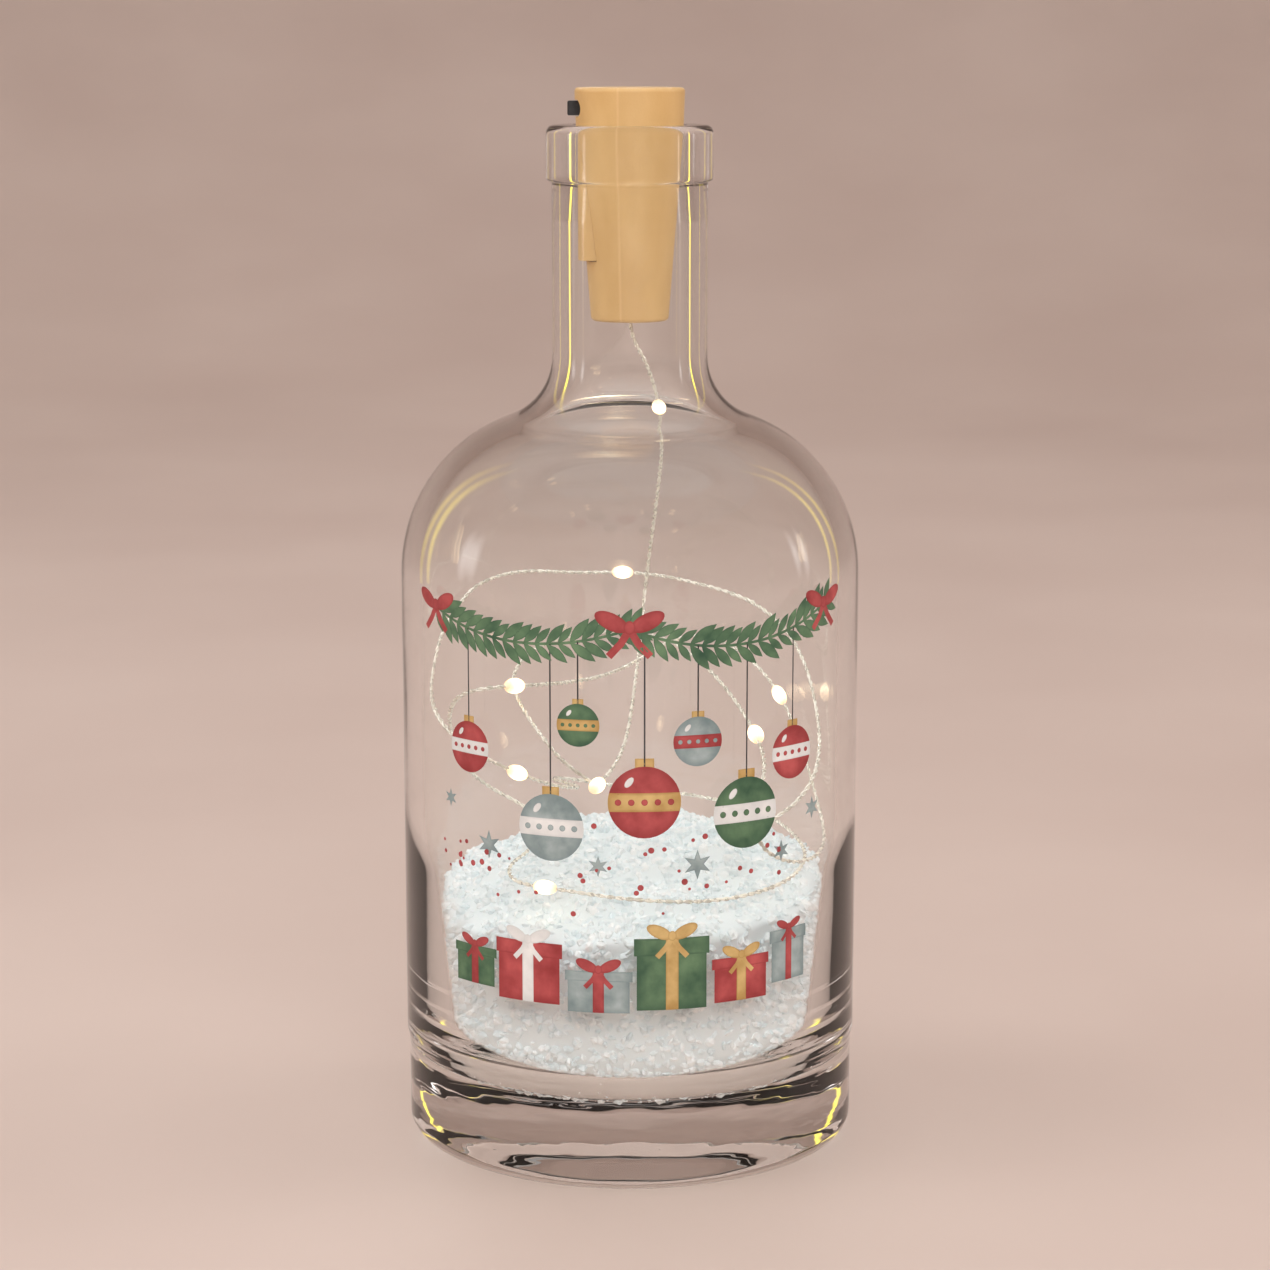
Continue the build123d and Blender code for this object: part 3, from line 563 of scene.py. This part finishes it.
def wall_radius(z):
    """The radius of the inner wall at a height."""
    for upper, lower in zip(inside, inside[1:]):
        if lower.y <= z <= upper.y and upper.y > lower.y:
            return lower.x + (upper.x - lower.x) * (z - lower.y) / (upper.y - lower.y)
    return inside[0].x


crown_x, crown_y, crown_z, crown_r = 6.0, 8.0, 54.4, 110.0
snow_waves = ((13.1, 15, 40), (10.5, 75, 130), (8.9, 135, 250))
wave_height, grain_room, small_height, small_length = 0.45, 0.6, 0.4, 3.5


def snow_top(x, y):
    """The crown of the heap with the humps where three waves cross, and small noise over them."""
    height = crown_z - crown_r + math.sqrt(crown_r ** 2 - (x - crown_x) ** 2 - (y - crown_y) ** 2)
    for spacing, heading, phase in snow_waves:
        along = x * math.cos(math.radians(heading)) + y * math.sin(math.radians(heading))
        height += wave_height * math.sin(math.radians(360 * along / spacing + phase))
    return height - grain_room + small_height * noise.noise(Vector((x, y, 8.0)) / small_length)


angles, top_rings, side_rings = 120, 30, 22
heap_floor, rim_guess = floor_z + 1.0, 36.0
rows = []
for step in range(angles):
    turn = math.tau * step / angles
    ux, uy = math.cos(turn), math.sin(turn)
    edge = wall_radius(snow_top(rim_guess * ux, rim_guess * uy)) - heap_inset
    row = []
    for ring in range(1, top_rings + 1):
        reach = edge * ring / top_rings
        row.append((reach * ux, reach * uy, snow_top(reach * ux, reach * uy)))
    edge_z = row[-1][2]
    for ring in range(1, side_rings + 1):
        z = edge_z + (heap_floor - edge_z) * ring / side_rings
        reach = wall_radius(z) - heap_inset
        row.append((reach * ux, reach * uy, z))
    rows.append(row)
length = top_rings + side_rings
corners = [Vector(spot) * mm for row in rows for spot in row]
corners += [Vector((0, 0, snow_top(0, 0))) * mm, Vector((0, 0, heap_floor)) * mm]
faces = []
for step in range(angles):
    a, b = step * length, (step + 1) % angles * length
    faces.append((len(corners) - 2, a, b))
    faces.append((len(corners) - 1, b + length - 1, a + length - 1))
    faces.extend((a + ring, a + ring + 1, b + ring + 1, b + ring) for ring in range(length - 1))
heap_mesh = bpy.data.meshes.new("snow_heap")
heap_mesh.from_pydata(corners, [], faces)
heap_mesh.shade_smooth()
snow_heap = bpy.data.objects.new("snow_heap", heap_mesh)
scene.collection.objects.link(snow_heap)
face_outwards(snow_heap)
print("heap", len(faces), "faces")

# %% [markdown]
# The grains are angular white chips about a millimetre or two across. The tree scatters them over the
# heap with a fixed seed, turns each its own way, and gives each its own three sizes and its own tone
# between a cool and a bright white. Relief in the finish alone would leave a smooth edge, so the grains
# are real. Each has twenty faces, because thousands of them are needed.

# %% The grains
tree, size = open_tree("Loose grains", {"Density": 430000.0, "Least": 0.0003, "Most": 0.0012, "Seed": 11})
spread = {"Mesh": size["Mesh"], "Density": size["Density"], "Seed": size["Seed"]}
spread = made(tree, "GeometryNodeDistributePointsOnFaces", spread)
chip = made(tree, "GeometryNodeMeshIcoSphere", {"Radius": 1.0, "Subdivisions": 1})
low = made(tree, "ShaderNodeCombineXYZ", {axis: size["Least"] for axis in range(3)})
high = made(tree, "ShaderNodeCombineXYZ", {axis: size["Most"] for axis in range(3)})
sizes = {0: low, 1: high, "Seed": size["Seed"]}
sizes = made(tree, "FunctionNodeRandomValue", sizes, data_type="FLOAT_VECTOR")
way = {0: (0, 0, 0), 1: (math.tau, math.tau, math.tau), "Seed": size["Seed"]}
way = made(tree, "FunctionNodeRandomValue", way, data_type="FLOAT_VECTOR")
way = made(tree, "FunctionNodeEulerToRotation", {0: way})
grains = {"Points": spread, "Instance": chip, "Rotation": way, "Scale": sizes}
grains = made(tree, "GeometryNodeInstanceOnPoints", grains)
tone = put(tree, "FunctionNodeRandomValue", {"Seed": size["Seed"]}, data_type="FLOAT").outputs[1]
grains = stored(tree, grains, "tone", tone, domain="INSTANCE")
close_tree(tree, grains, size["Finish"], smooth=False)

snow, nodes, shader = new_finish("snow")
spots = speckle(nodes, 420)
drive(nodes, shader, Roughness=between(nodes, spots, 0.28, 0.6))
bump = {"Height": spots, "Distance": 0.00012}
drive(nodes, shader, Normal=made(nodes, "ShaderNodeBump", bump))
tone = put(nodes, "ShaderNodeAttribute", attribute_name="tone").outputs["Fac"]
drive(nodes, shader, Base_Color=blended(nodes, tone, (0.74, 0.83, 0.86), (0.96, 0.985, 0.99)))
heap_tone = 0.4
heap_mesh.attributes.new("tone", "FLOAT", "POINT").data.foreach_set("value", [heap_tone] * len(corners))
heap_mesh.materials.append(snow)
snow_grains = grown("snow_grains", heap_mesh.copy(), tree, snow)
for piece in (snow_heap, snow_grains):
    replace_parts(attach(piece, "bottle"), "snow_fill")

# %% [markdown]
# The front of the bottle carries a winter print. This one is drawn from plain shapes: leafy garlands with
# baubles on threads above, and a row of gift boxes below. It is drawn flat in millimetres first, with the
# width round the bottle as x and the height as y, and every tone on a sheet of its own. Shapes are filled
# from the middle outwards, so that a point knows how near the rim it is, where wet colour dries darker.

# %% Tools for the flat print
sheets = {}
ring_step, edge_step, stroke_rim = 1.8, 1.5, 0.6


def fill(tone, outline, layer):
    """Fill a closed outline on a tone's sheet, in rings from its middle."""
    points, faces, rims = sheets.setdefault(tone, ([], [], []))
    spots = [Vector(spot) for spot in outline]
    middle = sum(spots, Vector((0, 0))) / len(spots)
    rings = max(2, math.ceil(max((spot - middle).length for spot in spots) / ring_step))
    first, count = len(points), len(spots)
    points.append((*middle, layer))
    rims.append(0.0)
    for ring in range(1, rings + 1):
        points.extend((*middle.lerp(spot, ring / rings), layer) for spot in spots)
        rims.extend([ring / rings] * count)
    for a in range(count):
        b = (a + 1) % count
        faces.append((first, first + 1 + a, first + 1 + b))
        for ring in range(rings - 1):
            inner = first + 1 + ring * count
            faces.append((inner + a, inner + count + a, inner + count + b, inner + b))


def stroke(tone, line, width, layer):
    """A line of even width."""
    points, faces, rims = sheets.setdefault(tone, ([], [], []))
    spots = [Vector(spot) for spot in line]
    first = len(points)
    for step, spot in enumerate(spots):
        heading = spots[min(step + 1, len(spots) - 1)] - spots[max(step - 1, 0)]
        aside = Vector((-heading.y, heading.x)).normalized() * width / 2
        points.extend([(*(spot - aside), layer), (*(spot + aside), layer)])
        rims.extend([stroke_rim, stroke_rim])
    for step in range(len(spots) - 1):
        a = first + 2 * step
        faces.append((a, a + 2, a + 3, a + 1))


def oval(x, y, a, b, tilt=0.0, count=28):
    """An oval with half widths a and b, turned by tilt."""
    turns = [math.tau * step / count for step in range(count)]
    arms = [(a * math.cos(turn), b * math.sin(turn)) for turn in turns]
    c, s = math.cos(tilt), math.sin(tilt)
    return [(x + u * c - v * s, y + u * s + v * c) for u, v in arms]


def box(left, low, right, high):
    """A rectangle with points no further apart than edge_step."""
    corners = [(left, low), (right, low), (right, high), (left, high)]
    outline = []
    for start, stop in zip(corners, corners[1:] + corners[:1]):
        parts = max(1, math.ceil(math.dist(start, stop) / edge_step))
        outline.extend(Vector(start).lerp(Vector(stop), part / parts) for part in range(parts))
    return outline


def star(x, y, size, points=6):
    """A plain star whose inner corners lie at 0.42 of its size."""
    reaches = [size, 0.42 * size] * points
    turns = [math.pi * step / points + math.pi / 2 for step in range(2 * points)]
    return [(x + reach * math.cos(turn), y + reach * math.sin(turn)) for reach, turn in zip(reaches, turns)]


# %% [markdown]
# A bauble is a disc with a cap, a band round its middle, a row of dots and one highlight. It could be one
# drawing, but plain shapes on layers a few hundredths of a millimetre apart keep each tone on its sheet.
# The baubles hang on threads from two garlands, at places that leave the lights behind the glass in view.

# %% Baubles on their threads
layers = [0.03, 0.05, 0.07, 0.09]
left_end, middle_end, right_end = (-40.0, 103.0), (0.0, 102.0), (40.0, 103.5)
garlands = [(left_end, middle_end, 3.6), (middle_end, right_end, 4.2)]
thread_width, stem_width = 0.28, 0.5


def hanging(start, stop, sag, share):
    """A point on a garland that hangs between two places."""
    spot = Vector(start).lerp(Vector(stop), share)
    return spot - Vector((0, 4 * sag * share * (1 - share)))


def garland_height(x):
    """The height of the garland over a place."""
    start, stop, sag = garlands[0] if x < 0 else garlands[1]
    return hanging(start, stop, sag, (x - start[0]) / (stop[0] - start[0])).y


def bauble(x, y, size, tone, trim):
    """A bauble with its thread, cap, band, dots and highlight, in shares of its size."""
    stroke("dark", [(x, y + size), (x, garland_height(x))], thread_width, layers[0])
    fill("gold", box(x - 0.26 * size, y + 0.92 * size, x + 0.26 * size, y + 1.22 * size), layers[0])
    fill(tone, oval(x, y, size, size, count=36), layers[1])
    turns = [math.asin(0.26) * (k / 2 - 1) for k in range(5)]
    right = [(x + size * math.cos(turn), y + size * math.sin(turn)) for turn in turns]
    left = [(2 * x - a, b) for a, b in reversed(right)]
    top = [Vector(right[-1]).lerp(Vector(left[0]), k / 7) for k in range(1, 7)]
    under = [Vector(left[-1]).lerp(Vector(right[0]), k / 7) for k in range(1, 7)]
    fill(trim, right + top + left + under, layers[2])
    for k in (-2, -1, 0, 1, 2):
        fill(tone, oval(x + 0.36 * k * size, y, 0.09 * size, 0.09 * size, count=12), layers[3])
    fill("pale", oval(x - 0.42 * size, y + 0.56 * size, 0.17 * size, 0.09 * size, 0.9, 14), layers[2])


baubles = [
    (-31, 79, 4.6, "red", "pale"), (-14, 66.5, 6.0, "grey", "pale"), (-9, 85, 3.8, "green", "gold"),
    (2.6, 71.5, 6.4, "red", "gold"), (12, 82, 4.4, "grey", "red"),
    (21.3, 68.5, 6.4, "green", "pale"), (31.5, 78, 4.8, "red", "pale"),
]
for place in baubles:
    bauble(*place)
print("baubles", len(baubles))

# %% [markdown]
# Gift boxes, bows, stars and dots are made from the same few shapes, so each is a small function that is
# called with its places and sizes. The dots are strewn with a fixed seed.

# %% Gift boxes, bows, stars and dots
def bow(x, y, size, tone, layer):
    """Two loops, two tails and a knot, in shares of the bow's size."""
    for side in (-1, 1):
        loop_x, loop_y = x + side * 0.62 * size, y + 0.26 * size
        fill(tone, oval(loop_x, loop_y, 0.64 * size, 0.3 * size, side * 0.45, 22), layer)
        tail = [(x, y), (x + side * 0.3 * size, y - 0.5 * size), (x + side * 0.72 * size, y - 0.95 * size)]
        stroke(tone, tail, 0.26 * size, layer)
    fill(tone, oval(x, y + 0.06 * size, 0.2 * size, 0.24 * size, count=16), layer + 0.01)


def gift(x, low, width, height, tone, trim):
    """A box with its lid, a ribbon and a bow."""
    fill(tone, box(x - width / 2, low, x + width / 2, low + height), layers[0])
    lid = 0.24 * height
    fill(tone, box(x - width / 2 - 0.5, low + height - lid, x + width / 2 + 0.5, low + height), layers[1])
    fill(trim, box(x - 0.09 * width, low, x + 0.09 * width, low + height), layers[2])
    bow(x, low + height + 0.2, 0.3 * width, trim, layers[3])


gifts = [
    (-30, 36.0, 9, 7, "green", "red"), (-18.5, 34.5, 12, 11, "red", "pale"),
    (-5.5, 33.5, 11, 7.5, "grey", "red"), (7.5, 34.0, 12.5, 13, "green", "gold"),
    (20.5, 34.5, 10.5, 8, "red", "gold"), (31, 36.5, 8, 9.5, "grey", "red"),
]
stars = [
    (-26.5, 62, 2.6), (-5.5, 60, 1.9), (12.0, 60, 2.7),
    (29, 60.5, 2.0), (-36, 69, 1.7), (37, 67, 2.1),
]
dot_count = 46
for place in gifts:
    gift(*place)
for end, size in ((left_end, 4.4), (middle_end, 5.0), (right_end, 4.4)):
    bow(*end, size, "red", layers[2])
for place in stars:
    fill("grey", star(*place), layers[0])
scatter = random.Random(7)
for step in range(dot_count):
    x, y, size = scatter.uniform(-38, 38), scatter.gauss(58.5, 3.2), scatter.uniform(0.25, 0.6)
    fill("red", oval(x, y, size, size, count=10), layers[0])
print("print tones", {tone: len(sheet[1]) for tone, sheet in sheets.items()})

# %% [markdown]
# Leaves repeat along a stem, so a tree makes them. It walks along the garland, puts a pair of leaves at
# each step, and leans them forward. A leaf is a small grid whose width follows half a sine wave.

# %% The leaves of the garlands
leaf_sizes = {"Spacing": 2.1, "Leaf length": 5.6, "Leaf width": 1.9, "Lean": 0.75, "Seed": 5}
leaf_tree, size = open_tree("Leaves on a stem", leaf_sizes)
tree = leaf_tree
stem = even_line(tree, size["Mesh"], size["Spacing"])
blade = {"Size X": 1.0, "Size Y": 1.0, "Vertices X": 7, "Vertices Y": 3}
blade = made(tree, "GeometryNodeMeshGrid", blade)
spot = put(tree, "ShaderNodeSeparateXYZ", {0: made(tree, "GeometryNodeInputPosition")})
reach = maths(tree, "ADD", spot.outputs[0], 0.5)
wide = maths(tree, "MULTIPLY", reach, math.pi)
wide = maths(tree, "SINE", wide)
wide = maths(tree, "MULTIPLY", wide, size["Leaf width"])
wide = maths(tree, "MULTIPLY", wide, spot.outputs[1])
long = maths(tree, "MULTIPLY", reach, size["Leaf length"])
rim = maths(tree, "MULTIPLY", maths(tree, "ABSOLUTE", spot.outputs[1]), 2.0)
blade = stored(tree, blade, "rim", rim)
leaf = made(tree, "ShaderNodeCombineXYZ", {0: long, 1: wide})
blade = made(tree, "GeometryNodeSetPosition", {"Geometry": blade, "Position": leaf})
heading = made(tree, "GeometryNodeInputTangent")
turned = {"Vector": heading}
turned = made(tree, "FunctionNodeAlignRotationToVector", turned, axis="X", pivot_axis="Z")
varied = {2: 0.7, 3: 1.1, "Seed": size["Seed"]}
varied = put(tree, "FunctionNodeRandomValue", varied, data_type="FLOAT").outputs[1]
both = put(tree, "GeometryNodeJoinGeometry")
for side in (1, -1):
    lean = maths(tree, "MULTIPLY", size["Lean"], side)
    lean = made(tree, "ShaderNodeCombineXYZ", {2: lean})
    lean = made(tree, "FunctionNodeEulerToRotation", {0: lean})
    way = made(tree, "FunctionNodeRotateRotation", {0: turned, 1: lean}, rotation_space="LOCAL")
    leaves = {"Points": stem, "Instance": blade, "Rotation": way, "Scale": varied}
    tree.links.new(made(tree, "GeometryNodeInstanceOnPoints", leaves), both.inputs[0])
close_tree(tree, both.outputs[0], size["Finish"])
print("leaf tree", len(tree.nodes), "nodes")

# %% [markdown]
# The flat sheets are then rolled round the bottle by one more tree. Its angle is the distance along the
# sheet over the radius, so the print keeps its size. Each tone has its own finish: two shades of one
# ink that drift with noise, and dry darker at the rim.

# %% The print on the glass
tree, size = open_tree("Rolled print", {"Bottle radius": body_r, "Unit": mm})
spot = put(tree, "ShaderNodeSeparateXYZ", {0: made(tree, "GeometryNodeInputPosition")}).outputs
angle = maths(tree, "DIVIDE", spot[0], size["Bottle radius"])
radius = maths(tree, "ADD", spot[2], size["Bottle radius"])
sine = maths(tree, "SINE", angle)
cosine = maths(tree, "COSINE", angle)
x = maths(tree, "MULTIPLY", radius, sine)
y = maths(tree, "MULTIPLY", radius, cosine)
y = maths(tree, "MULTIPLY", y, -1.0)
rolled = made(tree, "ShaderNodeCombineXYZ", {0: x, 1: y, 2: spot[1]})
rolled = made(tree, "ShaderNodeVectorMath", {0: rolled, "Scale": size["Unit"]}, operation="SCALE")
rolled = made(tree, "GeometryNodeSetPosition", {"Geometry": size["Mesh"], "Position": rolled})
close_tree(tree, rolled, size["Finish"])

inks = {
    "red": ((0.26, 0.018, 0.022), (0.56, 0.10, 0.10)),
    "green": ((0.025, 0.085, 0.045), (0.15, 0.27, 0.14)),
    "grey": ((0.16, 0.23, 0.235), (0.46, 0.54, 0.54)),
    "pale": ((0.66, 0.68, 0.67), (0.90, 0.90, 0.88)),
    "gold": ((0.42, 0.24, 0.06), (0.74, 0.53, 0.22)),
    "dark": ((0.012, 0.012, 0.013), (0.05, 0.045, 0.045)),
}
ink_finishes = {}
for tone, (dark, light) in inks.items():
    ink, nodes, shader = new_finish("ink_" + tone)
    wash = between(nodes, speckle(nodes, 240, detail=5.0), 0.0, 1.0, 0.25, 0.7)
    rim = put(nodes, "ShaderNodeAttribute", attribute_name="rim").outputs["Fac"]
    rim = between(nodes, rim, 1.0, 0.35, 0.7, 1.0)
    wash = maths(nodes, "MULTIPLY", wash, rim)
    drive(nodes, shader, Base_Color=blended(nodes, wash, dark, light))
    drive(nodes, shader, Roughness=between(nodes, speckle(nodes, 900), 0.42, 0.62))
    ink_finishes[tone] = ink

stem_parts = 24
stem_lines = []
for start, stop, sag in garlands:
    line = [hanging(start, stop, sag, step / stem_parts) for step in range(stem_parts + 1)]
    stroke("green", line, stem_width, layers[0])
    stem_lines.append(line)
prints = []
for tone, (points, faces, rims) in sheets.items():
    flat = bpy.data.meshes.new("print_" + tone)
    flat.from_pydata(points, [], faces)
    flat.attributes.new("rim", "FLOAT", "POINT").data.foreach_set("value", rims)
    prints.append(grown("print_" + tone, flat, tree, ink_finishes[tone]))
stems = bpy.data.meshes.new("garland_stems")
stem_points = [(*spot, layers[1]) for line in stem_lines for spot in line]
stem_edges = [(step, step + 1) for step in range(len(stem_points) - 1) if step != stem_parts]
stems.from_pydata(stem_points, stem_edges, [])
flat_leaves = grown("flat_leaves", stems, leaf_tree, ink_finishes["green"])
prints.append(grown("print_leaves", flat_leaves.data, tree, ink_finishes["green"]))
bpy.data.objects.remove(flat_leaves)
for piece in prints:
    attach(piece, "bottle")

# %% [markdown]
# The stopper is moulded plastic in the colour of cork: smooth, a little uneven in tone, with a fine seam
# where the two halves of the mould met. The solids of the stopper have the right shape, so they stay
# and only get a finish. The seam lies in an upright plane through the axis and is raised a little in
# relief.
# Its colour is painted paler, a painted highlight along its ridge.

# %% The finish of the stopper
stopper_plastic, nodes, shader = new_finish("stopper_plastic")
spots = speckle(nodes, 190, detail=5.0, stretch=(1, 1, 0.4))
fine = speckle(nodes, 2600, detail=2.0)
place = put(nodes, "ShaderNodeTexCoord").outputs["Object"]
seam_side = (0.976, -0.218, 0)
beside = put(nodes, "ShaderNodeVectorMath", {0: place, 1: seam_side}, operation="DOT_PRODUCT")
beside = maths(nodes, "ABSOLUTE", beside.outputs["Value"])
# The band along the seam raises its ridge in relief, and also places the painted highlight.
seam_and_highlight = between(nodes, beside, 0.6, 0.0, 0.00005, 0.00030)
tone = blended(nodes, between(nodes, spots, 0, 1), (0.68, 0.425, 0.165), (0.765, 0.505, 0.215))
# A paler cork tone along the seam is a painted highlight, not the plastic's own colour.
seam_highlight_color = {0: seam_and_highlight, 6: tone, 7: (0.81, 0.55, 0.26, 1)}
seam_highlight_color = put(nodes, "ShaderNodeMix", seam_highlight_color, data_type="RGBA").outputs[2]
drive(nodes, shader, Base_Color=seam_highlight_color)
drive(nodes, shader, Roughness=between(nodes, fine, 0.36, 0.52))
bump = {"Height": maths(nodes, "ADD", fine, seam_and_highlight), "Distance": 0.00004}
drive(nodes, shader, Normal=made(nodes, "ShaderNodeBump", bump))
print("finish", stopper_plastic.name, len(nodes.nodes), "nodes")

# %% [markdown]
# The pieces inside the stopper show when the head is drawn out: bright cells, plated springs, a green
# board, a black switch with brass legs, and set glue round the lead. Each gets the grain of its own
# material: metal is streaked along its rolling, laminate has a weave, and plastic a fine dull grain.

# %% The finishes of the stopper's insides
metals = {
    "cell_steel": ((0.66, 0.66, 0.65), (0.84, 0.84, 0.82), (0.16, 0.34), (1, 1, 14)),
    "contact_steel": ((0.58, 0.58, 0.57), (0.78, 0.78, 0.77), (0.24, 0.42), (1, 8, 1)),
    "contact_brass": ((0.66, 0.46, 0.19), (0.86, 0.66, 0.32), (0.22, 0.40), (1, 8, 1)),
}
finishes = {"stopper_plastic": stopper_plastic, "silver_wire": silver_wire}
for name, (dark, light, rough, stretch) in metals.items():
    finishes[name], nodes, shader = new_finish(name, Metallic=1.0)
    mottle(nodes, shader, 800, dark, light, rough, relief=0.000008, stretch=stretch)
finishes["switch_black"], nodes, shader = new_finish("switch_black")
mottle(nodes, shader, 1800, (0.010, 0.010, 0.011), (0.030, 0.030, 0.031), (0.38, 0.6), relief=0.00003)
finishes["clear_resin"], nodes, shader = new_finish("clear_resin", Transmission_Weight=0.5, IOR=1.48)
mottle(nodes, shader, 600, (0.80, 0.79, 0.74), (0.95, 0.94, 0.91), (0.12, 0.3))
finishes["board"], nodes, shader = new_finish("board")
place = put(nodes, "ShaderNodeTexCoord").outputs["Object"]
threads = {"Vector": place, "Scale": 500.0}
threads = [put(nodes, "ShaderNodeTexWave", threads, bands_direction=way) for way in "XY"]
weave = maths(nodes, "MULTIPLY", *[thread.outputs["Fac"] for thread in threads])
weave = blended(nodes, weave, (0.018, 0.10, 0.045), (0.04, 0.17, 0.08))
drive(nodes, shader, Base_Color=weave)
drive(nodes, shader, Roughness=between(nodes, speckle(nodes, 700), 0.3, 0.5))
for entry in frame["record"]["subparts"]:
    node = frame["nodes"][entry["node"]]
    if entry["material_slot"] in finishes:
        for slot in node.material_slots:
            slot.material = finishes[entry["material_slot"]]
print("finishes", sorted(finishes))

# %% [markdown]
# The stage is one wide, pale dish: a flat floor whose rim curves up all round, so that it is behind the
# bottle from every side. It is turned by the tree that made the bottle. Soft lamps stand on all four
# sides and above, under an even sky. Clear glass shows by what it bends into view, so the sky is darker
# than the floor, and four narrow strips of light, two golden and two pale, stand where the walls and the
# shoulders mirror them. They light the glass alone.

# %% The stage
pale_sheet, nodes, shader = new_finish("pale_sheet")
mottle(nodes, shader, 6, (0.60, 0.47, 0.41), (0.65, 0.52, 0.455), (0.42, 0.5))
dish_r, dish_bend, dish_z = 2200, 1100, -0.2
dish_outline = rounded([(0, dish_z, 0), (dish_r, dish_z, dish_bend), (dish_r, dish_r, 0)], step=60)
floor = grown("floor", outline_mesh("dish_outline", dish_outline), turned_tree, pale_sheet)

# %% The lamps and the sky
aim_point = Vector((0, 0, 0.10))


def add_lamp(name, place, wide, high, watts, colour=(1, 1, 1), lights=None):
    """An area lamp that faces the bottle and fades towards its rim; with lights it only lights those."""
    lamp = bpy.data.lights.new(name, "AREA")
    lamp.shape = "RECTANGLE"
    lamp.size, lamp.size_y, lamp.energy, lamp.color = wide, high, watts, colour
    lamp.cycles.use_multiple_importance_sampling = lights is not None
    lamp.use_nodes = True
    nodes = lamp.node_tree
    spot = put(nodes, "ShaderNodeNewGeometry").outputs["Parametric"]
    away = put(nodes, "ShaderNodeVectorMath", {0: spot, 1: (0.5, 0.5, 0)}, operation="DISTANCE")
    fade = between(nodes, away.outputs["Value"], 1.0, 0.0, 0.1, 0.5)
    nodes.links.new(fade, nodes.nodes["Emission"].inputs["Strength"])
    holder = bpy.data.objects.new(name, lamp)
    holder.location = place
    aim = aim_point - Vector(place)
    holder.rotation_euler = aim.to_track_quat("-Z", "Y").to_euler()
    holder.light_linking.receiver_collection = lights
    scene.collection.objects.link(holder)


add_lamp("lamp_left", (-1.10, -0.18, 0.85), 1.1, 1.2, 17.0)
add_lamp("lamp_right", (1.15, 0.06, 0.80), 0.9, 1.2, 13.0)
add_lamp("lamp_front", (0.15, -1.35, 0.85), 2.0, 1.4, 42.0)
add_lamp("lamp_back", (-0.20, 1.50, 1.20), 2.0, 1.0, 14.0)
add_lamp("lamp_above", (0.0, 0.10, 1.40), 1.6, 1.6, 18.0)
glass_only = bpy.data.collections.new("glass_only")
glass_only.objects.link(bottle_glass)
gold = (1.0, 0.82, 0.04)
add_lamp("gold_strip_left", (-0.52, 0.36, 0.30), 0.08, 0.9, 0.5, gold, glass_only)
add_lamp("gold_strip_right", (0.52, 0.36, 0.30), 0.05, 0.9, 0.34, gold, glass_only)
add_lamp("pale_strip_left", (-0.90, 0.00, 0.26), 0.16, 0.44, 0.9, lights=glass_only)
add_lamp("pale_strip_right", (0.90, 0.12, 0.26), 0.10, 0.44, 0.45, lights=glass_only)
sky = bpy.data.worlds.new("sky")
sky.use_nodes = True
sky.node_tree.nodes["Background"].inputs["Color"].default_value = (0.29, 0.27, 0.262, 1)
scene.world = sky
print("lamps", len(bpy.data.lights))
